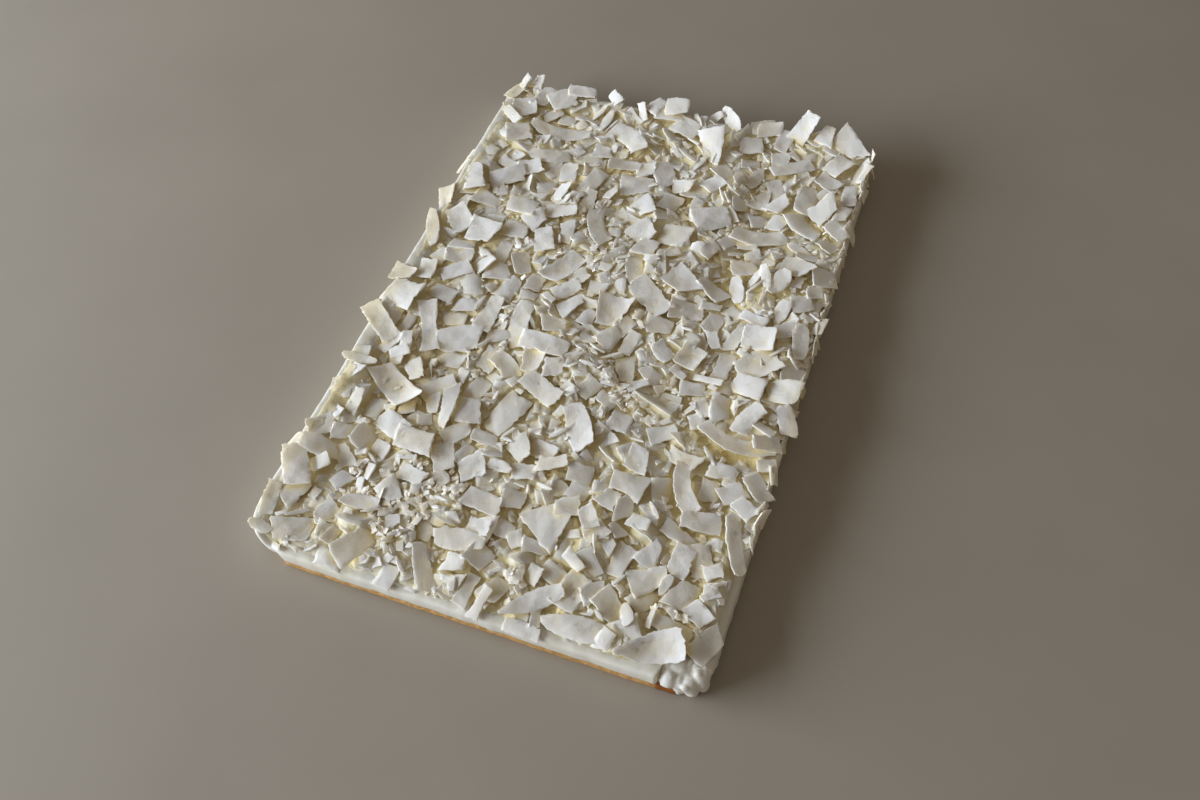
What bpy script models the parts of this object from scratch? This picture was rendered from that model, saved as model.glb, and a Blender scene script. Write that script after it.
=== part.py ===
"""Lemon slice: an uncut tray-bake slab of three layers.

A thin biscuit base, a white lemon icing that laps over the edge of the base, and a dense heap of
coconut flakes. Metres, +Z up, X along the short side, Y along the long side, origin on the bench
under the middle of the slab's bounding box.
"""
import math
import random

import bmesh
import bpy
from mathutils import Vector, noise
from mathutils.geometry import delaunay_2d_cdt

MM = 0.001

# slab
SLAB_WIDTH = 200.0
SLAB_LENGTH = 295.0
CORNER_RADIUS = {"front_right": 13.0, "back_right": 11.0, "back_left": 11.0, "front_left": 17.0}
STATION_SPACING = 11.0
CORNER_STATIONS = 7
LAYER_GAP = 0.3

# biscuit base
BASE_HEIGHT = 4.0
BASE_INSET = 1.0
BASE_CORNER_INSET = 0.9
BASE_EDGE_ROUND = 0.6

# lemon icing
ICING_TOP = 11.2
ICING_SHOULDER_INSET = 3.6
LIP_HIGH = 3.6
LIP_LOW = 0.7
WALL_WAVE = 0.35
NOTCH_FRONT_DEPTH = 3.4

# coconut heap
HEAP_BOTTOM = ICING_TOP + LAYER_GAP
HEAP_BED = (1.4, 4.4)
RIM_SPACING = 5.5
BED_SPACING = 6.5
FLAKE_TRIES = 26000
FLAKE_LENGTH = (5.0, 24.0)
FLAKE_WIDTH = (4.0, 9.5)
FLAKE_GAP = 0.7
FLAKE_RISE = (0.8, 4.0)
FLAKE_TILT = 20.0
FRONT_MARGIN = 4.5
OVERHANG = 3.4
STANDING_TOP = 27.0
STANDING_FLAKES = [(60, 142, 1.0), (84, 141, 0.85), (17, 142, 0.6), (-39, 142, 0.55), (-24, 135, 0.4),
                   (20, 126, 0.75), (93, 130, 0.4), (-91, 47, 0.3), (43, 84, 0.3), (-20, 80, 0.25),
                   (93, 20, 0.35), (92, -28, 0.45), (-92, -60, 0.25), (-26, -130, 0.2), (88, -96, 0.3)]


def clear_scene():
    for obj in list(bpy.data.objects):
        bpy.data.objects.remove(obj, do_unlink=True)


def material(name, colour, roughness):
    mat = bpy.data.materials.new(name)
    mat.use_nodes = True
    shader = mat.node_tree.nodes["Principled BSDF"]
    shader.inputs["Base Color"].default_value = (*colour, 1.0)
    shader.inputs["Roughness"].default_value = roughness
    shader.inputs["Metallic"].default_value = 0.0
    return mat


def mesh_object(name, verts, faces, mat, smooth_angle=35.0):
    """One named object from points in millimetres and faces wound anticlockwise from outside."""
    mesh = bpy.data.meshes.new(name)
    mesh.from_pydata([Vector(v) * MM for v in verts], [], faces)
    mesh.materials.append(mat)
    mesh.shade_smooth()
    mesh.set_sharp_from_angle(angle=math.radians(smooth_angle))
    obj = bpy.data.objects.new(name, mesh)
    bpy.context.scene.collection.objects.link(obj)
    return obj


def outline(spacing, corner_count):
    """Stations (point, outward normal, corner share, share of the way round) on the rounded outline.

    Runs anticlockwise from the left end of the front edge. The corner share is 1 in the middle of a
    rounded corner and 0 along the straight sides.
    """
    hx, hy = SLAB_WIDTH / 2, SLAB_LENGTH / 2
    order = [("front_right", 1, -1, -90), ("back_right", 1, 1, 0),
             ("back_left", -1, 1, 90), ("front_left", -1, -1, 180)]
    arcs = []
    for name, sx, sy, start in order:
        r = CORNER_RADIUS[name]
        arcs.append((Vector((sx * (hx - r), sy * (hy - r))), r, math.radians(start)))
    stations = []
    for i, (centre, r, start) in enumerate(arcs):
        before, r0, start0 = arcs[i - 1]
        end0 = start0 + math.pi / 2
        a = before + r0 * Vector((math.cos(end0), math.sin(end0)))
        b = centre + r * Vector((math.cos(start), math.sin(start)))
        count = round((b - a).length / spacing)
        direction = (b - a).normalized()
        for k in range(count):
            stations.append((a.lerp(b, (k + 0.5) / count), Vector((direction.y, -direction.x)), 0.0))
        for k in range(corner_count):
            t = k / (corner_count - 1)
            angle = start + t * math.pi / 2
            normal = Vector((math.cos(angle), math.sin(angle)))
            stations.append((centre + r * normal, normal, math.sin(math.pi * t)))
    return [(p, normal, corner, k / len(stations)) for k, (p, normal, corner) in enumerate(stations)]


def wall_wave(along):
    """Outward swell of the side wall, in millimetres, at a share of the way round."""
    turn = 2 * math.pi * along
    return WALL_WAVE * (0.6 * math.sin(7 * turn + 0.4) + 0.4 * math.sin(17 * turn + 1.3))


def base_inset(corner):
    return BASE_INSET + BASE_CORNER_INSET * corner


def loft(stations, rings):
    """Closed solid through rings of (inset, height) functions, capped at both ends."""
    verts, faces, n = [], [], len(stations)
    for inset, height in rings:
        for station in stations:
            point, normal = station[0], station[1]
            p = point - normal * inset(station)
            verts.append((p.x, p.y, height(station)))
    for r in range(len(rings) - 1):
        for i in range(n):
            j = (i + 1) % n
            faces.append((r * n + i, r * n + j, (r + 1) * n + j, (r + 1) * n + i))
    faces.append(tuple(range(n))[::-1])
    faces.append(tuple(range((len(rings) - 1) * n, len(rings) * n)))
    return verts, faces


def base_rings(grow, bottom, top, edge_round):
    """Side of the base, or with grow and no rounding the hollow that the icing keeps around it."""
    def side(extra):
        return lambda st: base_inset(st[2]) - grow + extra - 0.8 * wall_wave(st[3])
    if edge_round == 0:
        return [(side(0.0), lambda st: bottom), (side(0.0), lambda st: top)]
    return [(side(edge_round), lambda st: bottom),
            (side(0.0), lambda st: bottom + edge_round),
            (side(0.1), lambda st: top - edge_round),
            (side(edge_round), lambda st: top)]


def lip_height(station):
    """How low the icing laps down the side: high along the front, low round the corners."""
    point, _, corner, along = station
    front = 1.0 if point.y < -SLAB_LENGTH / 2 + 2.0 else 0.35
    wander = 0.25 * math.sin(11 * 2 * math.pi * along) + 0.2 * math.sin(23 * 2 * math.pi * along + 2)
    share = max(0.0, min(1.0, front * (1.0 - corner) + 0.12 * wander))
    return LIP_LOW + (LIP_HIGH - LIP_LOW) * share


def icing_rings():
    """From a cap hidden in the base hollow, out under the lip, up the wall and over the shoulder."""
    def wave(share):
        return lambda st: -share * wall_wave(st[3])

    def plus(offset, share):
        swell = wave(share)
        return lambda st: offset + swell(st)

    return [(lambda st: 5.0, lambda st: 2.0),
            (lambda st: base_inset(st[2]) + 0.4 - 0.8 * wall_wave(st[3]), lip_height),
            (plus(0.25, 1.0), lip_height),
            (wave(1.0), lambda st: lip_height(st) + 0.5),
            (plus(0.3, 0.7), lambda st: 0.68 * ICING_TOP),
            (plus(1.2, 0.4), lambda st: ICING_TOP - 1.0),
            (lambda st: ICING_SHOULDER_INSET, lambda st: ICING_TOP)]


def prism(name, outline_xz, y_front, y_back, mat):
    """Cutter with an outline in the X-Z plane, running from y_front to y_back."""
    n = len(outline_xz)
    verts = [(x, y_front, z) for x, z in outline_xz] + [(x, y_back, z) for x, z in outline_xz]
    faces = [(i, n + i, n + (i + 1) % n, (i + 1) % n) for i in range(n)]
    faces += [tuple(range(n)), tuple(range(n, 2 * n))[::-1]]
    return mesh_object(name, verts, faces, mat)


def blob(name, centre, radii, seed, mat):
    """Uneven lump of icing."""
    bm = bmesh.new()
    bmesh.ops.create_icosphere(bm, subdivisions=2, radius=1.0)
    for v in bm.verts:
        swell = 1.0 + 0.16 * noise.noise(v.co * 1.7 + Vector((seed, 0.0, 0.0)))
        v.co = Vector(c + r * swell * d for c, r, d in zip(centre, radii, v.co))
    verts = [tuple(v.co) for v in bm.verts]
    faces = [tuple(v.index for v in f.verts) for f in bm.faces]
    bm.free()
    return mesh_object(name, verts, faces, mat)


def boolean(target, cutters, operation):
    """Apply one exact boolean per cutter and remove the cutter."""
    for cutter in cutters:
        mod = target.modifiers.new(operation, "BOOLEAN")
        mod.operation, mod.solver, mod.object = operation, "EXACT", cutter
        result = target.evaluated_get(bpy.context.evaluated_depsgraph_get())
        mesh = bpy.data.meshes.new_from_object(result)
        target.modifiers.clear()
        target.data = mesh
        bpy.data.objects.remove(cutter, do_unlink=True)


def corner_clump(mat):
    """Lumps of icing that fill the broken front right corner, nearly down to the bench."""
    x, y = SLAB_WIDTH / 2, -SLAB_LENGTH / 2
    lumps = [((x - 15.5, y + 2.6, 7.3), (3.1, 3.0, 3.2)),
             ((x - 11.2, y + 3.4, 7.6), (3.6, 3.4, 3.3)),
             ((x - 8.6, y + 2.6, 4.1), (3.0, 3.0, 3.3)),
             ((x - 5.4, y + 4.6, 6.6), (3.7, 3.6, 3.9)),
             ((x - 3.2, y + 8.2, 7.0), (3.5, 3.8, 3.9)),
             ((x - 4.6, y + 4.4, 2.9), (2.0, 2.0, 2.0)),
             ((x - 1.9, y + 12.6, 7.6), (2.3, 4.0, 3.1))]
    clump, *others = [blob("lump", centre, radii, 3.0 * i, mat) for i, (centre, radii) in enumerate(lumps)]
    boolean(clump, others, "UNION")
    return clump


def build_base(stations, mat):
    verts, faces = loft(stations, base_rings(0.0, 0.0, BASE_HEIGHT, BASE_EDGE_ROUND))
    return mesh_object("biscuit_base", verts, faces, mat)


def build_icing(stations, mat):
    verts, faces = loft(stations, icing_rings())
    icing = mesh_object("lemon_icing", verts, faces, mat)
    x, y = SLAB_WIDTH / 2, -SLAB_LENGTH / 2
    notch = prism("notch", [(x - 20.6, 0.2), (x - 8.0, 0.2), (x - 8.0, 4.2), (x - 19.1, 13.0), (x - 20.8, 13.0)],
                  y - 2.0, y + NOTCH_FRONT_DEPTH, mat)
    boolean(icing, [notch], "DIFFERENCE")
    boolean(icing, [corner_clump(mat)], "UNION")
    verts, faces = loft(stations, base_rings(LAYER_GAP, -2.0, BASE_HEIGHT + LAYER_GAP, 0))
    boolean(icing, [mesh_object("base_room", verts, faces, mat)], "DIFFERENCE")
    icing.data.shade_smooth()
    icing.data.set_sharp_from_angle(angle=math.radians(40.0))
    return icing


def inside_slab(x, y, inset):
    """Whether a point lies in the slab's rounded outline moved in by an inset."""
    name = ("back_" if y > 0 else "front_") + ("right" if x > 0 else "left")
    r = max(CORNER_RADIUS[name] - inset, 0.1)
    past_x = abs(x) - (SLAB_WIDTH / 2 - inset - r)
    past_y = abs(y) - (SLAB_LENGTH / 2 - inset - r)
    return math.hypot(max(past_x, 0.0), max(past_y, 0.0)) <= r


def rim_push(point):
    """How far the heap's uneven rim stands out past the slab, negative where the icing shows."""
    out = OVERHANG * (0.15 + 0.95 * noise.noise(Vector((point.x / 7, point.y / 7, 2.0))))
    front = max(0.0, min(1.0, (-point.y - SLAB_LENGTH / 2 + 14.0) / 10.0))
    broken_corner = max(0.0, (point.x - 76.0) / 24.0)
    return out - front * (FRONT_MARGIN + 5.0 * broken_corner)


def bed_height(x, y):
    low, high = HEAP_BED
    return low + (high - low) * max(0.0, min(1.0, 0.5 + 0.9 * noise.noise(Vector((x / 12, y / 12, 7.0)))))


def choose_flakes(rng):
    """Flakes scattered without touching each other in plan, the long ones first."""
    hx, hy = SLAB_WIDTH / 2, SLAB_LENGTH / 2
    sizes = sorted((rng.uniform(0, 1) ** 1.6 for _ in range(FLAKE_TRIES)), reverse=True)
    cell, taken, chosen = 12.0, {}, []
    standing = [(x, y, 9.0, 1.4, share) for x, y, share in STANDING_FLAKES]
    for k, size in enumerate([None] * len(standing) + sizes):
        if size is None:
            x, y, length, width, share = standing[k]
            turn = rng.uniform(-0.5, 0.5) + (math.pi / 2 if abs(x) > 90 else 0.0)
        else:
            x, y = rng.uniform(-hx, hx), rng.uniform(-hy, hy)
            length = FLAKE_LENGTH[0] + (FLAKE_LENGTH[1] - FLAKE_LENGTH[0]) * size
            width = min(length, FLAKE_WIDTH[0] + (FLAKE_WIDTH[1] - FLAKE_WIDTH[0]) * rng.uniform(0.2, 1) * size ** 0.5)
            turn, share = rng.uniform(0, math.pi), None
        axis = Vector((math.cos(turn), math.sin(turn)))
        side = Vector((-axis.y, axis.x))
        skew = rng.uniform(-0.3, 0.3) * width
        ends = [axis * (s * length / 2 + t * skew) + side * (t * width / 2)
                for s, t in ((-1, -1), (1, -1), (1, 1), (-1, 1))]
        corners = [Vector((x, y)) + e for e in ends]
        margin = 1.2 if share is not None else 2.2 if y > -hy + 20 else 7.0
        if not all(inside_slab(c.x, c.y, margin) for c in corners):
            continue
        beads = max(1, round(length / width))
        discs = [(x + axis.x * length * t, y + axis.y * length * t, width / 2 + FLAKE_GAP)
                 for t in ((b + 0.5) / beads - 0.5 for b in range(beads))]
        near = [d for cx in range(-2, 3) for cy in range(-2, 3)
                for d in taken.get((int(x // cell) + cx, int(y // cell) + cy), ())]
        if any(math.hypot(a[0] - b[0], a[1] - b[1]) < a[2] + b[2] for a in discs for b in near):
            continue
        for d in discs:
            taken.setdefault((int(d[0] // cell), int(d[1] // cell)), []).append(d)
        chosen.append((corners, Vector((x, y)), share))
    return chosen, taken, cell


def build_heap(mat):
    """Heap in one solid: flat tilted flakes over an uneven bed, joined by their sloping flanks."""
    rng = random.Random(11)
    chosen, taken, cell = choose_flakes(rng)
    points, heights, edges = [], [], []

    rim = []
    for point, normal, _, _ in outline(RIM_SPACING, 5):
        rim.append(point + normal * rim_push(point))
    for k, p in enumerate(rim):
        points.append(p)
        heights.append(HEAP_BOTTOM + 0.8 + 0.45 * bed_height(p.x, p.y) + rng.uniform(0.0, 0.8))
        edges.append((k, (k + 1) % len(rim)))

    for corners, centre, share in chosen:
        first = len(points)
        base = HEAP_BOTTOM + bed_height(centre.x, centre.y) + rng.uniform(*FLAKE_RISE)
        slope = math.tan(math.radians(rng.uniform(0, FLAKE_TILT)))
        lean = rng.uniform(0, 2 * math.pi)
        for corner in corners:
            away = corner - centre
            z = base + slope * (away.x * math.cos(lean) + away.y * math.sin(lean))
            if share is not None:
                z = STANDING_TOP - 7.0 * (1 - share) - 0.3 * (4.3 - min(4.3, away.x))
            points.append(corner)
            heights.append(max(z, HEAP_BOTTOM + 1.0))
        edges += [(first + k, first + (k + 1) % 4) for k in range(4)]

    for j in range(round(SLAB_LENGTH / BED_SPACING)):
        for i in range(round(SLAB_WIDTH / BED_SPACING)):
            x = -SLAB_WIDTH / 2 + (i + rng.uniform(0.2, 0.8)) * BED_SPACING
            y = -SLAB_LENGTH / 2 + (j + rng.uniform(0.2, 0.8)) * BED_SPACING
            margin = 2.5 if y > -SLAB_LENGTH / 2 + 20 else 8.0
            near = [d for cx in (-1, 0, 1) for cy in (-1, 0, 1)
                    for d in taken.get((int(x // cell) + cx, int(y // cell) + cy), ())]
            if inside_slab(x, y, margin) and all(math.hypot(x - d[0], y - d[1]) > d[2] for d in near):
                points.append(Vector((x, y)))
                heights.append(HEAP_BOTTOM + bed_height(x, y))

    flat, _, faces, origin, _, _ = delaunay_2d_cdt(points, edges, [], 1, 1e-4)
    verts = [(p.x, p.y, heights[origin[k][0]] if origin[k] else HEAP_BOTTOM + 2.0) for k, p in enumerate(flat)]
    new_index = {old: k for k, olds in enumerate(origin) for old in olds}
    faces = [tuple(f) for f in faces]
    start, n = len(verts), len(rim)
    for p in rim:
        inward = Vector((p.x / SLAB_WIDTH, p.y / SLAB_LENGTH)).normalized() * 1.1
        verts.append((p.x - inward.x, p.y - inward.y, HEAP_BOTTOM))
    ring = [new_index[k] for k in range(n)]
    faces += [(ring[k], start + k, start + (k + 1) % n, ring[(k + 1) % n]) for k in range(n)]
    faces.append(tuple(start + k for k in reversed(range(n))))
    heap = mesh_object("coconut_flakes", verts, faces, mat)
    heap.data.shade_flat()
    return heap


def centre_on_bench(objects):
    """Move the origin under the middle of the bounding box."""
    corners = [v.co for obj in objects for v in obj.data.vertices]
    shift = Vector((0.0, 0.0, -min(c.z for c in corners)))
    for axis in range(2):
        values = [c[axis] for c in corners]
        shift[axis] = -(min(values) + max(values)) / 2
    for obj in objects:
        for v in obj.data.vertices:
            v.co += shift


def main():
    clear_scene()
    biscuit = material("biscuit", (0.60, 0.34, 0.12), 0.85)
    icing = material("icing", (0.86, 0.82, 0.66), 0.45)
    coconut = material("coconut", (0.84, 0.82, 0.76), 0.7)
    stations = outline(STATION_SPACING, CORNER_STATIONS)
    parts = [build_base(stations, biscuit), build_icing(stations, icing), build_heap(coconut)]
    centre_on_bench(parts)


if __name__ == "__main__":
    main()
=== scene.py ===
"""Lemon slice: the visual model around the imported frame.

Works in millimetres about the slab's own centre, and turns to metres in the row frame when a mesh is made.
The slab's front is at low y, and the window is to its left and a little to the front.
"""
import math
from collections import namedtuple

import bmesh
import bpy
import numpy as np
from mathutils import Matrix, Vector, noise


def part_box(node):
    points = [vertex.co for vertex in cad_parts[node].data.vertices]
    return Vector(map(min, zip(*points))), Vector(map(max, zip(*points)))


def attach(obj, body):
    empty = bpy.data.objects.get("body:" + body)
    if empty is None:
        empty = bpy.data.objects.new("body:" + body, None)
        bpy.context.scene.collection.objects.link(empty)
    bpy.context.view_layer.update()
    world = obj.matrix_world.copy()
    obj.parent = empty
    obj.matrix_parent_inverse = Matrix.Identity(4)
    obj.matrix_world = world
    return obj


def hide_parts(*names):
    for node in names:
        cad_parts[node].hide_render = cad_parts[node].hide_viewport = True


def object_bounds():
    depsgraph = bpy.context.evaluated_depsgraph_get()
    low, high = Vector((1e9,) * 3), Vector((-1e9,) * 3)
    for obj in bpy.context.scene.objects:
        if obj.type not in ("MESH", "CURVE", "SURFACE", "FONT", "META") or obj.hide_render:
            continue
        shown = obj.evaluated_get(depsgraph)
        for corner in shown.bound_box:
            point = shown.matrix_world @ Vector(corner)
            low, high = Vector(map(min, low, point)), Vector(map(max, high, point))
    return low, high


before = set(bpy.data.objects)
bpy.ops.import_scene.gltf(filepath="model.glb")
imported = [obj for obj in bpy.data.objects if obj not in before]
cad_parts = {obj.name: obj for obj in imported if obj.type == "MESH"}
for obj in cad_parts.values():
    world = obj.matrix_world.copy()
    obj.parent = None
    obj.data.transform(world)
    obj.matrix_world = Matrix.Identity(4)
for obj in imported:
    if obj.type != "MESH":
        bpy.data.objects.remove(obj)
cad_low, cad_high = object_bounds()
base_low, base_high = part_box("biscuit_base")
CENTRE = (Vector(base_low) + Vector(base_high)) / 2
CENTRE.z = 0.0
MM = 0.001

# slab, the same sizes as the solids
HALF_X, HALF_Y = 100.0, 147.5
CORNERS = {(1, -1): 13.0, (1, 1): 11.0, (-1, 1): 11.0, (-1, -1): 17.0}
BASE_TOP = 4.0
ICING_TOP = 11.2
TALLEST = (cad_high.z - cad_low.z) / MM

# left end of the broken front right corner
NOTCH_X = 80.4

# width of the rounded rim round a flake, and how much its torn edges stray
RIM = 0.16
FRAY = 0.18

# window light: degrees round from the front to the left, degrees up from the bench, metres and watts
WINDOW_SIDE = 68
WINDOW_RISE = 16.2
WINDOW_DISTANCE = 1.7
WINDOW_SIZE = (1.6, 0.75)
WINDOW_POWER = 43.0
WINDOW_COLOUR = (0.865, 0.934, 1.0)

# light of the room, and the half width of the bench in metres
ROOM_COLOUR = (1.0, 0.85, 0.68, 1.0)
ROOM_STRENGTH = 0.195
BENCH_REACH = 20.0


def smooth(low, high, value):
    """Eases from 0 at low to 1 at high; low may be the greater of the two."""
    t = np.clip((value - low) / (high - low), 0.0, 1.0)
    return t * t * (3 - 2 * t)


def ripple(points, size, seed):
    """Smooth noise, about -1 to 1, at each point; size is the width of its bumps in millimetres."""
    shift = Vector((seed * 17.3, seed * 5.1, seed * 9.7))
    return np.array([noise.noise(Vector(p) / size + shift) for p in points]) * 1.6


def flat_points(x, y, z=0.0):
    return np.column_stack([x, y, np.full_like(x, z)])


def linked(name, data):
    """A new object in the scene."""
    obj = bpy.data.objects.new(name, data)
    bpy.context.scene.collection.objects.link(obj)
    return obj


def make_object(name, verts, faces, mat, node, smooth_angle=None):
    """Mesh object from millimetre points, declared to the frame."""
    mesh = bpy.data.meshes.new(name)
    places = np.asarray(verts, float) * MM + np.array(CENTRE)
    mesh.from_pydata(places.tolist(), [], faces)
    mesh.materials.append(mat)
    mesh.shade_smooth()
    if smooth_angle:
        mesh.set_sharp_from_angle(angle=math.radians(smooth_angle))
    obj = linked(name, mesh)
    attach(obj, "root")
    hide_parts(node)
    return obj


def set_attribute(obj, name, values):
    """Stores a number or a vector at each point of a mesh, for its material to read."""
    kind, field = ("FLOAT_VECTOR", "vector") if values.ndim == 2 else ("FLOAT", "value")
    made = obj.data.attributes.new(name, kind, "POINT")
    made.data.foreach_set(field, np.asarray(values, np.float32).ravel())


# ---------------------------------------------------------------- materials


class Shader:
    """Adds and joins the nodes of one material."""

    def __init__(self, name):
        self.mat = bpy.data.materials.new(name)
        self.mat.use_nodes = True
        self.tree = self.mat.node_tree
        self.main = self.tree.nodes["Principled BSDF"]
        self.here = self.node("TexCoord").outputs["Object"]

    def node(self, kind, **values):
        made = self.tree.nodes.new("ShaderNode" + kind)
        for key, value in values.items():
            if hasattr(made, key):
                setattr(made, key, value)
            else:
                self.put(made.inputs[key.replace("_", " ")], value)
        return made

    def put(self, socket, value):
        if isinstance(value, bpy.types.NodeSocket):
            self.tree.links.new(value, socket)
        else:
            socket.default_value = value

    def noise(self, scale, detail, rough=0.55, where=None):
        made = self.node("TexNoise", Scale=scale, Detail=detail, Roughness=rough, Vector=where or self.here)
        return made.outputs["Fac"]

    def ramp(self, fac, stops):
        made = self.node("ValToRGB", Fac=fac)
        ramp = made.color_ramp
        while len(ramp.elements) < len(stops):
            ramp.elements.new(0.5)
        for element, (place, colour) in zip(ramp.elements, stops):
            element.position = place
            element.color = (*colour, 1.0)
        return made.outputs["Color"]

    def remap(self, fac, low, high, new_low=0.0, new_high=1.0):
        ends = {"From Min": low, "From Max": high, "To Min": new_low, "To Max": new_high}
        return self.node("MapRange", Value=fac, **ends).outputs["Result"]

    def mix(self, fac, first, second):
        made = self.node("Mix", data_type="RGBA", Factor=fac)
        for socket, value in zip((s for s in made.inputs if s.type == "RGBA"), (first, second)):
            self.put(socket, value if isinstance(value, bpy.types.NodeSocket) else (*value, 1.0))
        return next(s for s in made.outputs if s.type == "RGBA")

    def math(self, operation, first, second):
        made = self.node("Math", operation=operation)
        self.put(made.inputs[0], first)
        self.put(made.inputs[1], second)
        return made.outputs[0]

    def attribute(self, name, output="Fac"):
        return self.node("Attribute", attribute_name=name).outputs[output]

    def set(self, **values):
        for key, value in values.items():
            self.put(self.main.inputs[key.replace("_", " ")], value)

    def finish(self, relief, distance, strength, specular, soak, method="BURLEY"):
        """Bumps, shine, and how light soaks in: its share, each colour's reach, and a depth in metres."""
        bump = self.node("Bump", Strength=strength, Distance=distance, Height=relief)
        self.set(Normal=bump.outputs["Normal"], Specular_IOR_Level=specular)
        share, reach, depth = soak
        self.main.subsurface_method = method
        self.set(Subsurface_Weight=share, Subsurface_Radius=reach, Subsurface_Scale=depth)
        return self.mat


def coconut_material():
    """Dried coconut: dull white, fibres along each flake, creamier in painted warm shade deep in the heap and
    in creases, and by the long sides, with a painted highlight on each rim.
    """
    s = Shader("coconut")
    own = s.attribute("flake_tone")
    rim = s.attribute("flake_rim")
    deep = s.attribute("flake_depth")
    along = s.node("Mapping", Vector=s.attribute("flake_place", "Vector"), Scale=(0.22, 1.3, 1.0))
    streaks = s.noise(1.6, 5.0, 0.6, along.outputs["Vector"])
    patches = s.noise(70.0, 3.0)
    grain = s.noise(2600.0, 4.0, 0.7)
    dents = s.noise(620.0, 3.0, 0.6)
    white = s.mix(s.remap(patches, 0.38, 0.66), (0.905, 0.912, 0.93), (0.895, 0.893, 0.885))
    toned = s.mix(own, white, (0.90, 0.88, 0.80))
    # painted shade: deeper and creased points are painted creamier and yellower, partly icing on their lower
    # parts and partly painted warm shade of the creases
    cream_and_shade = s.mix(s.remap(deep, 0.0, 0.9), toned, (0.895, 0.775, 0.46))
    # the lemon stain is real, but it is painted stronger deeper in the heap as part of the painted shade
    lemon_and_shade = s.math("MULTIPLY", s.attribute("amber"), s.remap(deep, 0.0, 1.0, 0.35, 0.8))
    stained = s.mix(lemon_and_shade, cream_and_shade, (0.74, 0.60, 0.29))
    fibred = s.mix(s.remap(streaks, 0.35, 0.75, 0.0, 0.13), stained, (0.70, 0.67, 0.60))
    # painted highlight: the outermost ring of each flake is painted lighter, standing in for light catching
    # its thin edge
    rim_highlight = s.mix(s.math("MULTIPLY", rim, 0.15), fibred, (0.91, 0.91, 0.89))
    s.set(Base_Color=rim_highlight, Roughness=s.remap(grain, 0.3, 0.7, 0.52, 0.72))
    relief = s.math("ADD", s.math("MULTIPLY", streaks, 0.8), s.math("MULTIPLY", grain, 0.3))
    soak = (0.75, (1.0, 0.97, 0.9), 0.0018)
    return s.finish(s.math("ADD", relief, dents), 0.00035, 0.45, 0.35, soak)


def icing_material(name, pale, warm, scale):
    """Set icing: creamy, a little glossy, light soaking a few millimetres in."""
    s = Shader(name)
    clouds = s.noise(55.0 * scale, 4.0)
    fine = s.noise(900.0 * scale, 4.0, 0.6)
    dimples = s.noise(260.0 * scale, 2.0, 0.5)
    s.set(Base_Color=s.mix(s.remap(clouds, 0.35, 0.68), pale, warm))
    s.set(Roughness=s.remap(fine, 0.3, 0.7, 0.34, 0.52))
    relief = s.math("ADD", dimples, s.math("MULTIPLY", fine, 0.35))
    return s.finish(relief, 0.0003, 0.5, 0.45, (0.5, (1.0, 0.88, 0.62), 0.003))


def bed_material():
    """Icing mixed with coconut dust between the flakes, painted yellower and darker in the hollows as shade.
    """
    s = Shader("icing_bed")
    dust = s.noise(900.0, 5.0, 0.65)
    clouds = s.noise(120.0, 3.0)
    pale = s.mix(s.remap(clouds, 0.35, 0.68), (0.90, 0.86, 0.70), (0.89, 0.82, 0.58))
    # painted shade: the hollows are painted yellower and darker
    cream_and_shade = s.mix(s.attribute("flake_depth"), pale, (0.88, 0.75, 0.38))
    stained = s.mix(s.math("MULTIPLY", s.attribute("amber"), 0.8), cream_and_shade, (0.72, 0.56, 0.24))
    s.set(Base_Color=s.mix(s.remap(dust, 0.5, 0.75, 0.0, 0.5), stained, (0.82, 0.81, 0.76)))
    s.set(Roughness=s.remap(dust, 0.3, 0.7, 0.45, 0.65))
    return s.finish(dust, 0.0005, 0.7, 0.35, (0.5, (1.0, 0.85, 0.55), 0.003))


def biscuit_material():
    """Baked biscuit: golden crumb with browner specks, painted darkest in the notch at the broken corner,
    where shade falls.
    """
    s = Shader("biscuit")
    crumb = s.noise(420.0, 5.0, 0.65)
    patch = s.noise(60.0, 3.0, 0.5)
    stops = [(0.30, (0.33, 0.155, 0.045)), (0.47, (0.58, 0.33, 0.12)), (0.70, (0.72, 0.48, 0.22))]
    shaded = s.mix(s.remap(patch, 0.35, 0.7, 0.0, 0.45), s.ramp(crumb, stops), (0.66, 0.42, 0.18))
    # painted shade: the notch at the broken corner is painted dark brown
    s.set(Base_Color=s.mix(s.attribute("notch_shade"), shaded, (0.30, 0.105, 0.02)))
    s.set(Roughness=s.remap(crumb, 0.3, 0.7, 0.9, 0.7))
    return s.finish(crumb, 0.0006, 0.8, 0.25, (0.1, (1.0, 0.6, 0.3), 0.001), "RANDOM_WALK")


def floor_material():
    s = Shader("floor")
    clouds = s.remap(s.noise(9.0, 3.0), 0.3, 0.7)
    s.set(Base_Color=s.mix(clouds, (0.395, 0.356, 0.30), (0.425, 0.383, 0.325)), Roughness=0.75)
    return s.mat


# ---------------------------------------------------------------- slab


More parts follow.
